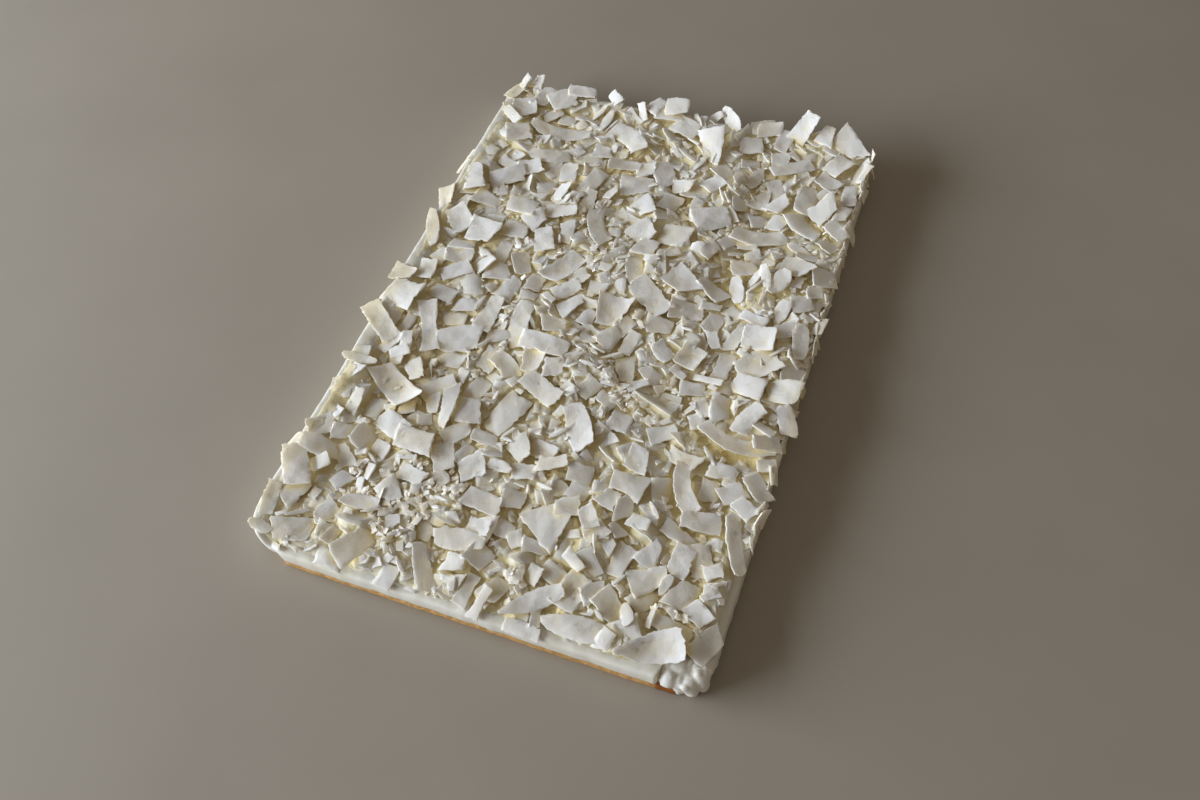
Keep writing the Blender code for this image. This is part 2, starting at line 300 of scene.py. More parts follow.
def outline(spacing):
    """Points, outward normals and corner shares evenly round the slab, from the front edge's left end."""
    arcs = []
    for sx, sy, start in ((1, -1, -90), (1, 1, 0), (-1, 1, 90), (-1, -1, 180)):
        r = CORNERS[(sx, sy)]
        arcs.append((np.array((sx * (HALF_X - r), sy * (HALF_Y - r))), r, math.radians(start)))
    points, normals, corners = [], [], []
    for i, (centre, r, start) in enumerate(arcs):
        before, r0, start0 = arcs[i - 1]
        end0 = start0 + math.pi / 2
        a = before + r0 * np.array((math.cos(end0), math.sin(end0)))
        b = centre + r * np.array((math.cos(start), math.sin(start)))
        length = np.linalg.norm(b - a)
        direction = (b - a) / length
        steps = round(length / spacing)
        for k in range(steps):
            points.append(a + direction * length * (k + 0.5) / steps)
            normals.append((direction[1], -direction[0]))
            corners.append(0.0)
        steps = round(r * math.pi / 2 / spacing)
        for k in range(steps + 1):
            angle = start + k / steps * math.pi / 2
            normal = np.array((math.cos(angle), math.sin(angle)))
            points.append(centre + r * normal)
            normals.append(normal)
            corners.append(math.sin(math.pi * k / steps))
    return np.array(points), np.array(normals), np.array(corners)


def inside_distance(x, y):
    """How far a point lies inside the slab's rounded outline, negative outside."""
    x, y = np.asarray(x, float), np.asarray(y, float)
    r = np.where(x > 0, np.where(y > 0, CORNERS[(1, 1)], CORNERS[(1, -1)]),
                 np.where(y > 0, CORNERS[(-1, 1)], CORNERS[(-1, -1)]))
    past_x, past_y = np.abs(x) - (HALF_X - r), np.abs(y) - (HALF_Y - r)
    outside = np.hypot(np.maximum(past_x, 0), np.maximum(past_y, 0))
    return r - outside - np.minimum(np.maximum(past_x, past_y), 0)


def crown(x, y):
    """How much higher the icing stands along the left and back, where it has come up through the coconut."""
    return np.maximum(3.3 * smooth(-85.0, -94.0, x), 2.4 * smooth(HALF_Y - 14.0, HALF_Y - 5.0, y))


def loft(rings):
    """Points and faces through equal rings, wound anticlockwise from outside, with both ends capped."""
    n = len(rings[0])
    faces = [(r * n + i, r * n + (i + 1) % n, (r + 1) * n + (i + 1) % n, (r + 1) * n + i)
             for r in range(len(rings) - 1) for i in range(n)]
    faces.append(tuple(reversed(range(n))))
    faces.append(tuple(range((len(rings) - 1) * n, len(rings) * n)))
    return np.concatenate(rings), faces


def ring(points, normals, inset, height):
    flat = points - normals * np.broadcast_to(inset, len(points))[:, None]
    return np.column_stack([flat, np.broadcast_to(height, len(points))])


def tucked_corner(x, y):
    """1 round the front left corner, where the upper icing hangs out over a cut-back edge."""
    return smooth(-79.5, -83.5, x) * smooth(-128.0, -134.0, y)


def edge_wave(x, y):
    """How the slab's edge wanders, in long waves and short ones."""
    return ripple(flat_points(x, y), 26.0, 1) * 0.45 + ripple(flat_points(x, y, 3.0), 8.0, 2) * 0.18


# side of the base from the bench up: how far in, height
BASE_PROFILE = [
    (1.2, 0.0), (0.35, 0.15), (0.05, 0.7), (0.0, 1.3), (-0.1, 2.0), (-0.05, 2.7), (0.1, 3.3), (0.5, 3.8),
    (1.4, BASE_TOP),
]


def build_base(mat):
    """The biscuit base, its side cut back under the right side and the tucked front left corner."""
    points, normals, corners = outline(0.8)
    x, y = points.T
    side = smooth(86.0, 92.0, x) * smooth(-HALF_Y + 0.5, -HALF_Y + 2.5, y)
    inset = 0.15 + 1.1 * corners + 3.6 * tucked_corner(x, y) - 0.5 * edge_wave(x, y)
    inset = inset + 1.5 * side + 4.0 * smooth(89.0, 91.0, x)
    rings = []
    for k, (inward, z) in enumerate(BASE_PROFILE):
        flat = ring(points, normals, inset + inward, z)
        crumb = ripple(flat, 2.2, 5) * 0.16 + ripple(flat, 0.9, 6) * 0.08
        if 0 < k < len(BASE_PROFILE) - 1:
            flat = ring(points, normals, inset + inward - crumb, z + crumb * 0.5)
        rings.append(flat)
    verts, faces = loft(rings)
    obj = make_object("base_crumb", verts, faces, mat, "biscuit_base")
    x, y = verts[:, 0], verts[:, 1]
    # painted shade in the notch at the broken corner
    set_attribute(obj, "notch_shade", smooth(NOTCH_X - 2.5, NOTCH_X + 0.5, x) * smooth(-139.0, -143.0, y))


# side of the icing from its underside round to the heap: how far in, share of its height, share of the bulge
ICING_PROFILE = [
    (2.6, 0.2, 0.0), (1.3, 0.0, 0.2), (0.5, 0.0, 0.6), (0.15, 0.10, 1.0), (0.0, 0.22, 1.0),
    (-0.05, 0.36, 1.0), (0.0, 0.50, 1.0), (0.05, 0.64, 1.0), (0.15, 0.78, 0.9), (0.4, 0.89, 0.8),
    (0.8, 0.96, 0.6), (1.4, 0.995, 0.4), (2.4, 1.0, 0.1), (4.2, 1.0, 0.0), (6.2, 0.995, 0.0),
    (8.0, 0.99, 0.0), (11.0, 0.98, 0.0), (15.0, 0.97, 0.0),
]


def build_icing(mat):
    """The icing slab: lip over the base, wavy rolled wall, shoulder and the bare margin round the heap."""
    points, normals, corners = outline(0.7)
    x, y = points.T
    wave, tuck = edge_wave(x, y), tucked_corner(x, y)
    broken = smooth(NOTCH_X - 0.2, NOTCH_X + 0.5, x) * smooth(-130.5, -134.5, y)
    front = smooth(-HALF_Y + 3.0, -HALF_Y + 0.5, y)
    left = smooth(-HALF_X + 3.0, -HALF_X + 0.5, x) * smooth(-134.0, -124.0, y)
    back = smooth(HALF_Y - 3.0, HALF_Y - 0.5, y) * (1 - corners)
    hidden_side = np.maximum(np.maximum(left, back), corners * (x < 0) * (y > 0))
    wander = ripple(flat_points(x, y, 9.0), 14.0, 3)
    lip = 0.8 + 2.7 * front * (1 - corners) + 0.25 * wander + 4.2 * tuck
    lip = np.clip(np.maximum(lip, 0.8 + (2.0 + 0.4 * wander) * hidden_side), 0.6, 6.0)
    rings = []
    for inward, rise, bulge in ICING_PROFILE:
        inset = 0.3 + inward - bulge * 0.9 * wave + 7.0 * broken * max(0.0, 1 - inward / 9.0)
        inset = inset + tuck * 1.5 * (1 - rise) ** 0.5
        flat = ring(points, normals, inset, 0.0)
        z = lip + (ICING_TOP + crown(flat[:, 0], flat[:, 1]) - lip) * rise
        bump = ripple(flat, 6.0, 4) * 0.22 + ripple(flat, 2.4, 7) * 0.09
        bump *= 1.0 if 0.05 < rise else 0.3
        rings.append(ring(points, normals, inset - bump * (1 - rise), z + bump * rise))
    verts, faces = loft(rings)
    make_object("icing_slab", verts, faces, mat, "lemon_icing")


def ball(centre, radii, turns=3):
    """Points and triangles of a ball squashed to three radii."""
    made = bmesh.new()
    bmesh.ops.create_icosphere(made, subdivisions=turns, radius=1.0)
    points = np.array([v.co for v in made.verts]) * radii + centre
    faces = [tuple(v.index for v in f.verts) for f in made.faces]
    made.free()
    return points, faces


def fuse(parts, voxel, rounds):
    """One smooth skin over overlapping balls, sizes in millimetres."""
    points, faces, count = [], [], 0
    for verts, tris in parts:
        points.append(verts)
        faces += [tuple(count + i for i in f) for f in tris]
        count += len(verts)
    mesh = bpy.data.meshes.new("fused")
    mesh.from_pydata(np.concatenate(points).tolist(), [], faces)
    obj = linked("fused", mesh)
    remesh = obj.modifiers.new("remesh", "REMESH")
    remesh.mode, remesh.voxel_size = "VOXEL", voxel
    smoothing = obj.modifiers.new("smooth", "SMOOTH")
    smoothing.factor, smoothing.iterations = 0.5, rounds
    graph = bpy.context.evaluated_depsgraph_get()
    made = bpy.data.meshes.new_from_object(obj.evaluated_get(graph), depsgraph=graph)
    verts = np.array([v.co for v in made.vertices])
    faces = [tuple(p.vertices) for p in made.polygons]
    bpy.data.objects.remove(obj, do_unlink=True)
    bpy.data.meshes.remove(made)
    bpy.data.meshes.remove(mesh)
    return verts, faces


# lumps of icing at the broken corner: centre, radii
LUMPS = [
    ((84.4, -143.8, 7.0), (3.9, 3.8, 4.0)), ((88.2, -143.4, 6.6), (3.2, 3.2, 3.6)),
    ((92.0, -142.8, 6.0), (4.0, 3.8, 4.4)), ((95.2, -139.2, 7.4), (3.9, 4.2, 4.2)),
    ((96.2, -134.6, 8.0), (3.2, 4.2, 3.8)), ((88.6, -144.8, 3.0), (2.6, 2.2, 2.7)),
    ((93.2, -144.4, 2.6), (2.8, 2.2, 2.5)), ((96.8, -140.6, 3.2), (2.4, 3.0, 3.0)),
    ((87.0, -138.5, 6.6), (6.0, 5.2, 5.2)), ((93.0, -134.5, 6.6), (5.0, 5.5, 5.0)),
    ((82.4, -139.0, 6.6), (4.0, 5.0, 4.6)), ((97.0, -132.0, 5.4), (2.9, 3.4, 5.0)),
    ((91.0, -145.6, 8.2), (2.0, 1.6, 1.7)), ((97.6, -137.4, 9.4), (1.7, 2.0, 1.7)),
]


def build_lumps(mat):
    """The lumps of icing at the broken corner, fused into one curdled mass that reaches the bench."""
    rng = np.random.default_rng(5)
    parts = []
    for centre, radii in LUMPS:
        parts.append(ball(np.array(centre), np.array(radii)))
        for _ in range(4):
            d = rng.normal(size=3)
            d /= np.linalg.norm(d)
            small = np.array(radii) * rng.uniform(0.28, 0.45)
            parts.append(ball(np.array(centre) + d * np.array(radii) * 0.75, small, 2))
    verts, faces = fuse(parts, 0.38, 6)
    curd = ripple(verts, 1.9, 11) * 0.16 + ripple(verts, 0.8, 12) * 0.05
    verts[:, 2] = np.maximum(verts[:, 2] + curd, 0.2)
    verts[:, 1] += curd * 0.5
    make_object("icing_lumps", verts, faces, mat, "lemon_icing")


# ---------------------------------------------------------------- coconut


# One listed flake: its middle, its size, the turn of its length in degrees, how it leans (positive faces
# the side named by bearing, in degrees from the front to the left), and its form.
Laid = namedtuple("Laid", "x y length width turn lean form bearing", defaults=(0, "sq", WINDOW_SIDE))

# Listed flakes, the lowest first in each part of the slab
LAID = [Laid(*row) for row in (
    # front right
    (80, -127, 17, 7, -5, -.1), (26, -145.5, 14, 5, 0), (4, -109, 8, 9, 80, 0, "tr"), (2, -96, 11, 8, 5),
    (8.5, -99.5, 10, 4, 88, .1), (19, -113, 11, 5, 2), (10, -112.5, 7, 6, -60, .1),
    (-3, -112, 11, 8, -75, 0, "tr"), (30, -121, 12, 8, -20), (22, -123.5, 9, 6, 75, .15),
    (10, -133, 12, 10, 70, -.1, "ro"), (7, -141, 14, 6, 80, .05, "bw"), (1, -81, 11, 8, 10, .1),
    (4, -69, 13, 10, -15, .1), (12, -75, 14, 6, 25, .1, "ba"), (26, -84, 10, 7, -10, -.05),
    (24, -76, 10, 9, 2), (39, -84, 10, 8, 70, .05, "tr"), (46.5, -85, 9, 9, 40, -.1, "pl"),
    (55, -90.5, 9, 5, 0), (51, -46, 12, 8, 35, .05, "tr"), (83, -59, 8, 4, 85, .1),
    (95, -60, 13, 8, -50, -.1), (96, -49.5, 8, 6, 20), (62, -56, 15, 9, -15, .1, "bw"),
    (79, -57, 12, 7, 10, 0, "ba"), (71, -90, 16, 7, -25, -.05), (83, -97, 14, 10, -60, 0, "ro"),
    (47, -96, 8, 6, -40, -.1), (66, -120, 12, 8, 60, -.05), (94.5, -111.3, 3.5, 3, 20, .2),
    (36, -113.5, 10, 4, -35, .1), (29.5, -139, 10, 4.5, -75, -.05), (39, -125, 17, 12, 72, 0, "tr"),
    (47, -123.5, 10, 8, 40, .05), (55, -126.5, 14, 10, -35, -.1), (62.5, -128.5, 10, 4.5, -55, .15, "lf"),
    (52.5, -107, 14, 8, 82, .05, "bw"), (63, -101, 12, 8, 70, -.05, "tr"), (75.5, -100, 13, 10, 85, -.1),
    (88, -101, 8, 7, 30, .2, "bw"), (65, -111.5, 15, 11, 32, 0, "tr"),
    (79.5, -113.5, 12, 11, 80, -.05, "tr"), (72.5, -111.5, 9, 4.5, 80, .1, "lf"),
    (87.5, -118.5, 9.5, 7.5, -38, .1), (71.5, -127, 9, 3, 85, .2, "tr"),
    (26, -134, 25, 10, 40, -.05, "lf"), (47, -138.8, 31, 12.5, 4, -.03, "lf"),
    (58, -140, 8.5, 5.5, 78, .1), (74, -138, 28, 15, 28, 0, "dr"), (94, -130, 14, 10, 62, .05, "kt"),
    (19, -101, 18, 18, 65, .08, "tw"), (25, -92, 11, 9, 20, .05), (34.5, -94.5, 12, 8, -55, .05),
    (45, -74.5, 16, 12, -3, .05, "bw"), (44.5, -61.5, 15, 10, 86, .1), (15, -54, 23, 12, -58, .12, "tn"),
    (30.5, -46.5, 10, 9, 88, .05), (67, -69, 24, 8, -62, -.1, "ba"), (76, -66.5, 9, 8, -80, .05),
    (86, -65.5, 10, 8.5, 45, .1), (92, -70.5, 10, 7, -30, .1), (77.5, -81.5, 17, 8.5, 10),
    (93.5, -87, 27, 6.5, -65, -.15, "bn"), (84, -37, 14, 8, 65, .1), (81.5, -43.5, 35, 7, 0, -.05, "ba"),
    # front left
    (-94, -46, 9, 5, 0), (-92.5, -51, 18, 5, 2, 0, "lf"), (-78.5, -43, 9, 8, 10, .1),
    (-60.5, -42, 5, 4, 0, .1), (-44.5, -44, 7, 5, 80, .1), (-35, -49.5, 12, 10, 75, -.05, "ro"),
    (-61, -67.5, 9, 8, 15, .05), (-50.5, -71, 7, 6, 25, -.2), (-34, -73, 13, 9, 38, 0, "tr"),
    (-84, -71.5, 12, 7, 88, .1), (-75, -72, 11, 8, 80, .05), (-68, -70, 6, 4, 5, .1),
    (-26, -82, 10, 6, 75, -.15, "ro"), (-21.5, -72, 13, 6, 0, -.1, "ro"), (-5, -72, 12, 9, -40, .1, "tr"),
    (-9, -83, 10, 6, -10, .1, "lf"), (-92, -88, 12, 9, 40, -.05), (-82.5, -87, 10, 9, 20, -.1, "ro"),
    (-72.5, -88, 13, 11, 70, -.25, "tn"), (-62.5, -89.5, 9, 6, -10, .1), (-76, -98, 12, 9, -50),
    (-61.5, -102, 8, 5, 85, .2), (-62.5, -109, 8, 3, -75, .2), (-31, -95.5, 9, 6, -30, .1, "lf"),
    (-10.5, -100, 16, 9, -8), (-71, -109, 9, 7, 60), (-70.5, -124.5, 12, 9, 70, 0, "lf"),
    (-87, -120, 12, 9, 60, .05, "tr"), (-63, -134, 9, 7, 80), (-59, -142.5, 10, 8, 0, .05, "bw"),
    (-33, -142.5, 10, 8, 80), (-41, -120, 8, 7, 30, .1, "tr"), (-1, -123, 12, 9, -20, -.25),
    (0, -138, 14, 6, 82, 0, "bw"), (-14, -125.5, 5, 3.5, 80, .1), (-95, -127, 16, 7, -75, -.1),
    (-87, -98, 17, 9, 0, -.25, "lf"), (-83.5, -105, 9, 6, 40, .15), (-91.5, -110, 21, 11, -62, -.04),
    (-101, -100, 13, 4, 75, 0, "lf"), (-49, -107, 11, 8, -35, .05, "tr"),
    (-43.5, -98, 14, 9, -8, .1, "bw"), (-58, -116.5, 18, 7, 4, 0, "lf"),
    (-79, -136.5, 17, 10.5, 18, -.08), (-92, -139.5, 10, 6, -8, -.1, "pt"),
    (-50.5, -136, 17, 10, 58, -.22), (-27.5, -120, 8, 8, 0, .1, "ro"), (-9, -130, 9, 7, 0, .05, "ro"),
    (-6.5, -112, 12, 8, -4, .05), (-12, -119, 22, 9, 3, -.05, "lf"), (-21.5, -134, 22, 8, -55, -.3, "bn"),
    (-67, -48, 13, 9, -55, .08), (-52, -54, 18, 9, 36, .02), (-50, -62.5, 10, 7, -70, .1, "ro"),
    (-43.5, -62, 21, 7.5, -82, .12, "bb"), (-34.5, -61.5, 12, 11, 8, 0, "ro"),
    (-17.5, -58, 22, 14, 74, .03, "tn"), (-70.5, -60, 25, 12, -32, 0, "pl"), (-20.5, -87, 14, 10, 38),
    (-35, -86, 12, 11, -60, -.1, "ro"), (-62, -78, 17, 10, -25, .1), (-49, -83, 18, 10, -2, .1),
    # middle left
    (-88.5, 55, 9, 5, 75, .15, "tr"), (-86.5, 65, 14, 9, 5, -.05, "ro"),
    (-77.5, 59.5, 15, 8, -12, -.1, "tr"), (-9, 57.5, 6, 6, 5), (-68.5, 48.5, 10, 7, 0),
    (-57, 30, 13, 9, 86), (-45, 26, 15, 8, -65, -.2, "bn"), (-5, 34.5, 6, 5, 0, .1),
    (-5, 21.5, 9, 7, 5, .05, "tr"), (-84, 18, 9, 8, -30, -.15), (-75, 21, 14, 10, 10, 0, "ro"),
    (-77.5, 28, 12, 6, 5, -.1, "ba"), (-34, 8, 9, 6, 0, 0, "ro"), (-34, 16, 9, 8, 80, -.1, "ro"),
    (-53, 7, 5, 4, 60, 0, "tr"), (-44, 9, 14, 10, 72, -.05, "tr"), (-2, 3, 10, 8, 80, 0, "ro"),
    (-74, -3, 15, 8, -15), (-59.5, -7, 10, 8, 10), (-16, -7, 12, 10, 10, -.2, "ro"),
    (2, -9, 6, 4, 10, .1), (-38.5, -18, 12, 7, 25, 0, "tr"), (-16.5, -28, 12, 9, -85, .05, "tr"),
    (-6.5, -28.5, 10, 9, 20, -.05), (-82.5, -24, 12, 6, 82, -.1), (-90, -22, 10, 8, 82, -.1),
    (-84, -37, 13, 6, 62, .1), (-77, -34, 9, 6, -70, .1), (-78, -41, 9, 7, 30, .1),
    (-61, -41.5, 4, 4, 0, .2), (-53, -37, 12, 8, -15, 0, "ba"), (-37, -32, 13, 10, 80),
    (-61, -15, 11, 8, 6, .05), (-94, -28, 25, 10, -38, -.12), (-84.5, 42, 16, 12, -45, .05),
    (-70, 38, 14, 12, -4, .1), (-56, 44.5, 15, 9, -8, .08, "ro"), (-49, 53, 9, 9, 45, .1, "tr"),
    (-40.5, 42, 15, 9.5, -68, .1), (-58.5, 59.5, 17, 9.5, -8, -.05), (-31.5, 50, 13, 8, -75, -.05, "bb"),
    (-38, 62, 17, 10, 14, .12), (-98.5, 56, 14, 8, -72, 0, "tr"), (-96, 33, 25, 8, -62, 0, "lf"),
    (-18.5, 58, 25, 8.5, -62, -.15, "ba"), (-24, 29, 20, 12, 58, -.05, "ro"),
    (-15.5, 26, 9, 8, 60, .1, "ro"), (-18, 17, 14, 10, 40), (-54, 16, 14, 12, 20, -.03),
    (-61.5, 19, 11, 7, 52, .2), (-73.5, 11, 16, 9, 30), (-87, 8, 12, 10, -82, .05),
    (-24, 9.5, 7, 4, -30, .1), (-13, 8, 14, 9, 58, .1, "tr"), (-97, 3, 12, 8, 0, -.12, "tr"),
    (-90.5, -10, 18, 14, -5, .08), (-47.5, -7.5, 20, 11, 88, .08, "ro"),
    (-55, -26, 20, 14, 25, .02, "pt"), (-70.5, -24, 32, 9, -62, .05, "bw"),
    (-28.5, -34, 17, 9, -38, -.15, "bb"), (-8, -40, 20, 10, -22, .05), (-31, -9, 27, 10, -80, .1, "ba"),
    (-15.5, -18, 23, 11, -4, .05),
    # middle right
    (58.5, 61, 8, 7, 30, -.1), (57.5, 52, 12, 8, 10, -.1, "ro"), (94, 56, 12, 11, 20, -.2),
    (92.5, 46, 9, 6, 10, 0, "ro"), (88.5, 37, 10, 9, 30, -.1), (86.5, 27, 7, 6, 50, .1),
    (85.5, 21, 12, 8, 25), (94, -2, 11, 9, 10, -.1), (40, 20, 15, 12, 12, -.1),
    (52.5, 17, 12, 9, 80, -.1), (15, 4, 9, 8, 60, 0, "ro"), (2.5, -9, 8, 4.5, 0, .1, "ro"),
    (36, -5, 12, 8, -45, -.05, "ba"), (56.5, 8, 9, 6, -60, .05, "ba"), (49, 26, 10, 4, 5, 0, "bw"),
    (60, 26, 9, 6, -30, .05), (46.5, -14, 8, 4, -28, .1), (32, -26, 11, 6, 40, .05, "tr"),
    (62, -36, 9, 6, -60), (62, -29, 11, 7, -50, -.05), (55, -20, 11, 7, 10, -.05),
    (21, 50, 11, 4, 20, .05, "ba"), (39, 58, 10, 7, 60, .05), (21.5, -38, 11, 6, -30, -.05),
    (90, -33, 10, 4, -20, .1), (93, -40, 12, 7, 20), (65.5, 13, 16, 7, 75), (4, 61, 13, 12, 45, .12),
    (20.5, 63, 14, 11, -5, .12), (9, 38, 20, 10, -75, -.1, "ba"), (9, 52, 12, 11, -4, -.02),
    (32, 37, 18, 12, -35, .02, "kt"), (47, 36, 16, 9, -32, -.15), (21, 23, 26, 13, -38, .05),
    (7, 10.5, 16, 15, -85, -.03, "tr"), (30, 8, 13, 9, 10, -.05, "tr"), (11, -5.5, 12, 9, 62, -.05, "tr"),
    (20.5, -5, 13, 6.5, 84, .02), (23.5, -19, 14, 8.5, -70, -.03), (35.5, -19, 11, 7, -30, -.1, "ba"),
    (48.5, -5, 13, 11, 75, 0, "fd"), (64, -4.5, 15, 9, 86, .05, "bw"), (60, -14, 15, 3.5, -6, .15),
    (70.5, 24, 13, 7.5, -20, .05, "bw"), (11, -34, 11, 10, 70, .05, "tn"), (81, 30, 14, 7, 82, .2, "lf"),
    (93.5, 17, 20, 7, -75, 0, "lf"), (99.5, 28, 9, 4, 80, .2), (57.5, 39, 17, 7, -65, .2, "lf"),
    (64, 47, 12, 5, 65, .2, "lf"), (69, 48, 16, 4.5, -68, .3, "lf"), (76, 46, 17, 9, 82, .12, "lf"),
    (84, 50, 8, 6, 88, .15), (81, 58.5, 16, 12, -14, .2, "pt"), (69.5, -27, 14, 8.5, -78, -.1, "ba"),
    (78.5, 0, 17, 12, 42, .05), (75, 12.5, 15, 11.5, 2, .22, "cu"), (98, -25, 13, 8, -68, .2, "pt"),
    (93, -12, 15, 11, 12, .2, "pt"), (77, -13, 16, 10, -8, .2), (82.5, -29, 19, 8.5, 66, .15, "bb"),
    # back right
    (3, 137, 15, 10, -20, .05), (42, 122, 10, 8, 20), (53.5, 141, 13, 7, 82), (55, 128.5, 10, 9, 10, .02),
    (45, 92, 9, 8, 30, -.2, "ro"), (56, 84, 9, 7, 20, -.1, "tr"), (41, 84, 10, 6, -60, .2),
    (22, 94, 13, 9, 0, -.05, "ba"), (65, 86, 10, 8, 75, .05), (45.5, 67, 9, 7, 50, -.1),
    (55, 67, 10, 5, 5, .05), (79.5, 70, 12, 5, -30, .1), (84, 66, 10, 5, 10), (59, 108, 12, 8, -60),
    (93.5, 97, 10, 6, 88, .1), (82, 118, 12, 9, -30, .02), (92, 76.5, 9, 8, -25),
    (93, 86, 13, 8, -40, -.05), (72, 147, 14, 10, 80, 0, "pt"), (80.5, 141, 12, 8, -25, 0, "ro"),
    (83.5, 131, 14, 10, 62, .05), (63, 123.5, 22, 9, 30, -.1), (39, 134, 12, 10, 12, .15, "ro"),
    (42, 147, 13, 11, 20, 0, "ro"), (31, 110, 14, 10, -42, -.1, "ro"),
    (2.5, 102, 18, 9.5, -60, -.08, "ba"), (14, 95, 10, 8.5, 10, .15, "ro"),
    (29, 100, 10, 9, 50, .1, "fd"), (47, 112, 15, 8, 80, .05, "lf"), (53, 99, 13, 9, 82, .08, "tr"),
    (62, 97, 11, 8, 50, .15, "kt"), (75, 103, 19, 10, 86, -.12, "ro"), (84, 98, 14, 11, 60, .2, "pl"),
    (93.5, 112, 15, 7, -82, .08, "bn"), (78, 86, 18, 9.5, -26, -.12, "ba"),
    (59, 73, 27, 11, 10, -.02, "ba"), (25, 81, 16, 6.5, -78, 0, "ba"), (34, 78, 15, 14, 30, .05, "tr"),
    (10.5, 83, 11, 10, -15, -.05), (-0.5, 77, 13, 10, -50, .15, "kt"), (96, 130, 17, 5, 75, .3, "lf"),
    # back left
    (-95, 147, 13, 5, 65, .1, "tr"), (-88, 149, 9, 6, 40, .05), (-80, 140, 15, 8, 82, -.15, "ro"),
    (-61, 151, 16, 7, 5), (-86.5, 128, 14, 12, 20, -.15, "ro"), (-90.5, 121, 15, 6, -42, .1),
    (-60, 127, 9, 8, 0, 0, "ro"), (-69, 128, 11, 8, 50, .05), (-45.5, 136, 12, 3.5, 65, .2, "lf"),
    (-40, 131, 15, 4.5, 82, .15, "lf"), (-9, 145, 14, 12, 10), (-17, 147, 12, 8, 60, -.1),
    (-7.5, 102.5, 11, 9, 15, -.05), (-78, 87, 12, 7, -20, 0, "ba"), (-66, 87, 12, 9, 30, .02),
    (-53, 77, 10, 9, 15, -.1), (-34, 108.5, 10, 9, 5, .05), (-31, 86, 18, 8, 80, .02),
    (-28, 74, 12, 8, 88), (-45, 90, 13, 10, -82, .02), (-19.5, 102, 17, 8, 12, -.1, "tr"),
    (-68.5, 141, 17, 15, -50, 0, "ro"), (-95.5, 138, 12, 7, 70, 0, "ro"), (-75, 78, 18, 11, 34),
    (-90, 72, 20, 9, -65, .1), (-101, 84, 18, 3, 82, 0, "lf"), (-80.5, 108, 15, 11, 30),
    (-60, 98, 22, 9.5, 5, -.02, "db"), (-61, 117.5, 34, 10.5, 2, -.05, "db"),
    (-8, 90, 17, 12, 14, -.08, "ro"), (-43, 75, 11, 9, 80, .2), (-18.5, 80.5, 8, 6, 60, .2, "kt"),
    (-23.5, 121, 25, 11, -36, .12, "bb"),
)]

# Flakes near the back edge that stand up out of the heap, or face their own way
STANDING = [Laid(*row) for row in (
    (23, 147.5, 19, 8, -52, .7, "lf", 40), (15, 149, 8, 4.5, 10, .7, "lf", 45),
    (20.5, 125, 19, 11, -78, .65, "kt", 25), (-39.5, 146.5, 9, 6, -50, .7, "sq", 38),
    (-22.5, 140.5, 13, 5, -75, .7, "bw", 40), (7, 143, 11, 3, -55, .9, "lf", 60),
    (87, 145, 18, 12.5, -36, .42, "kt", 12), (62.5, 148.5, 18, 9, 62, .95, "tr", 20),
    (74, 147, 11, 8, 80, .4, "tr", 20), (-86, 149, 8, 6, 80, .6, "tr", 30),
    (-93, 146, 9, 5, 60, .6, "sq", 40), (97, 128, 12, 5, 75, .4, "bw", 45),
    (45, 145, 12, 9, 20, .15, "ro", 10), (-5, 147, 13, 9, 10, .3, "ro", 20),
    (-60, 148.5, 15, 8, 5, .2, "ro", 10),
)]

# Places the lemon icing has stained deeper: x, y, half widths, strength
STAINS = [
    (79, 0, 9, 7, 0.9), (62, -55, 8, 5, 0.9), (69, 35, 5, 7, 0.7), (-94, -68, 4, 11, 0.9),
    (-93, 36, 3.5, 16, 0.9), (-50, -42, 4, 3, 1), (1, -94, 9, 5, 0.7), (88, -96, 8, 9, 0.6),
    (79, -48, 12, 4, 0.6), (32, 33, 7, 4, 0.5), (-66, -46, 6, 6, 0.5), (-55, -48, 7, 3, 0.6),
    (-43, -72, 4, 6, 0.5), (-63, -137, 6, 5, 0.7), (-82, -142, 8, 4, 0.6), (-72, 116, 4, 5, 0.5),
    (-88, 126, 6, 5, 0.5), (-50, 112, 5, 4, 0.6), (-28, 76, 4, 6, 0.6), (72, 121, 5, 4, 0.6),
    (34, 94, 6, 4, 0.5), (-70, 73, 4, 7, 0.5), (45, -78, 8, 3, 0.3), (-8, -44, 10, 4, 0.4),
    (-98, 108, 3, 10, 0.5),
]

# Where the heap lies higher or lower: x, y, half widths, height
HUMPS = [
    (86, 25, 16, 40, 3.9), (51, 45, 11, 18, -2.8), (48, -30, 18, 13, -3.1), (-2, -26, 18, 14, 2.8),
    (90, -14, 12, 12, 2.1), (-33, 75, 10, 14, 2.6), (-12, 73, 9, 12, -2.1), (-56, 78, 8, 12, -1.6),
    (6, 78, 8, 12, 1.8), (-20, 124, 10, 9, 2.1), (38, 94, 10, 12, 2.1), (56, 88, 9, 10, -2.1),
    (90, 98, 9, 16, 2.1), (18, -56, 9, 10, 2.1), (31, -62, 7, 12, -1.8), (46, -66, 8, 10, 1.9),
    (60, -68, 7, 11, -1.8), (40, -92, 9, 9, 1.6), (-92, -62, 8, 9, 1.4), (-82, -60, 6, 8, -1.4),
    (-50, -80, 18, 8, 2.1), (-45, -112, 26, 12, -1.4), (-80, 130, 8, 10, 1.6), (-62, 128, 9, 9, -1),
    (24, 36, 14, 12, 1.6), (-52, 52, 14, 12, 1.6), (-40, 25, 12, 12, -1.4), (2, -60, 9, 12, -1.4),
    (60, -138, 20, 8, 1.2), (15, 8, 14, 12, 1),
]

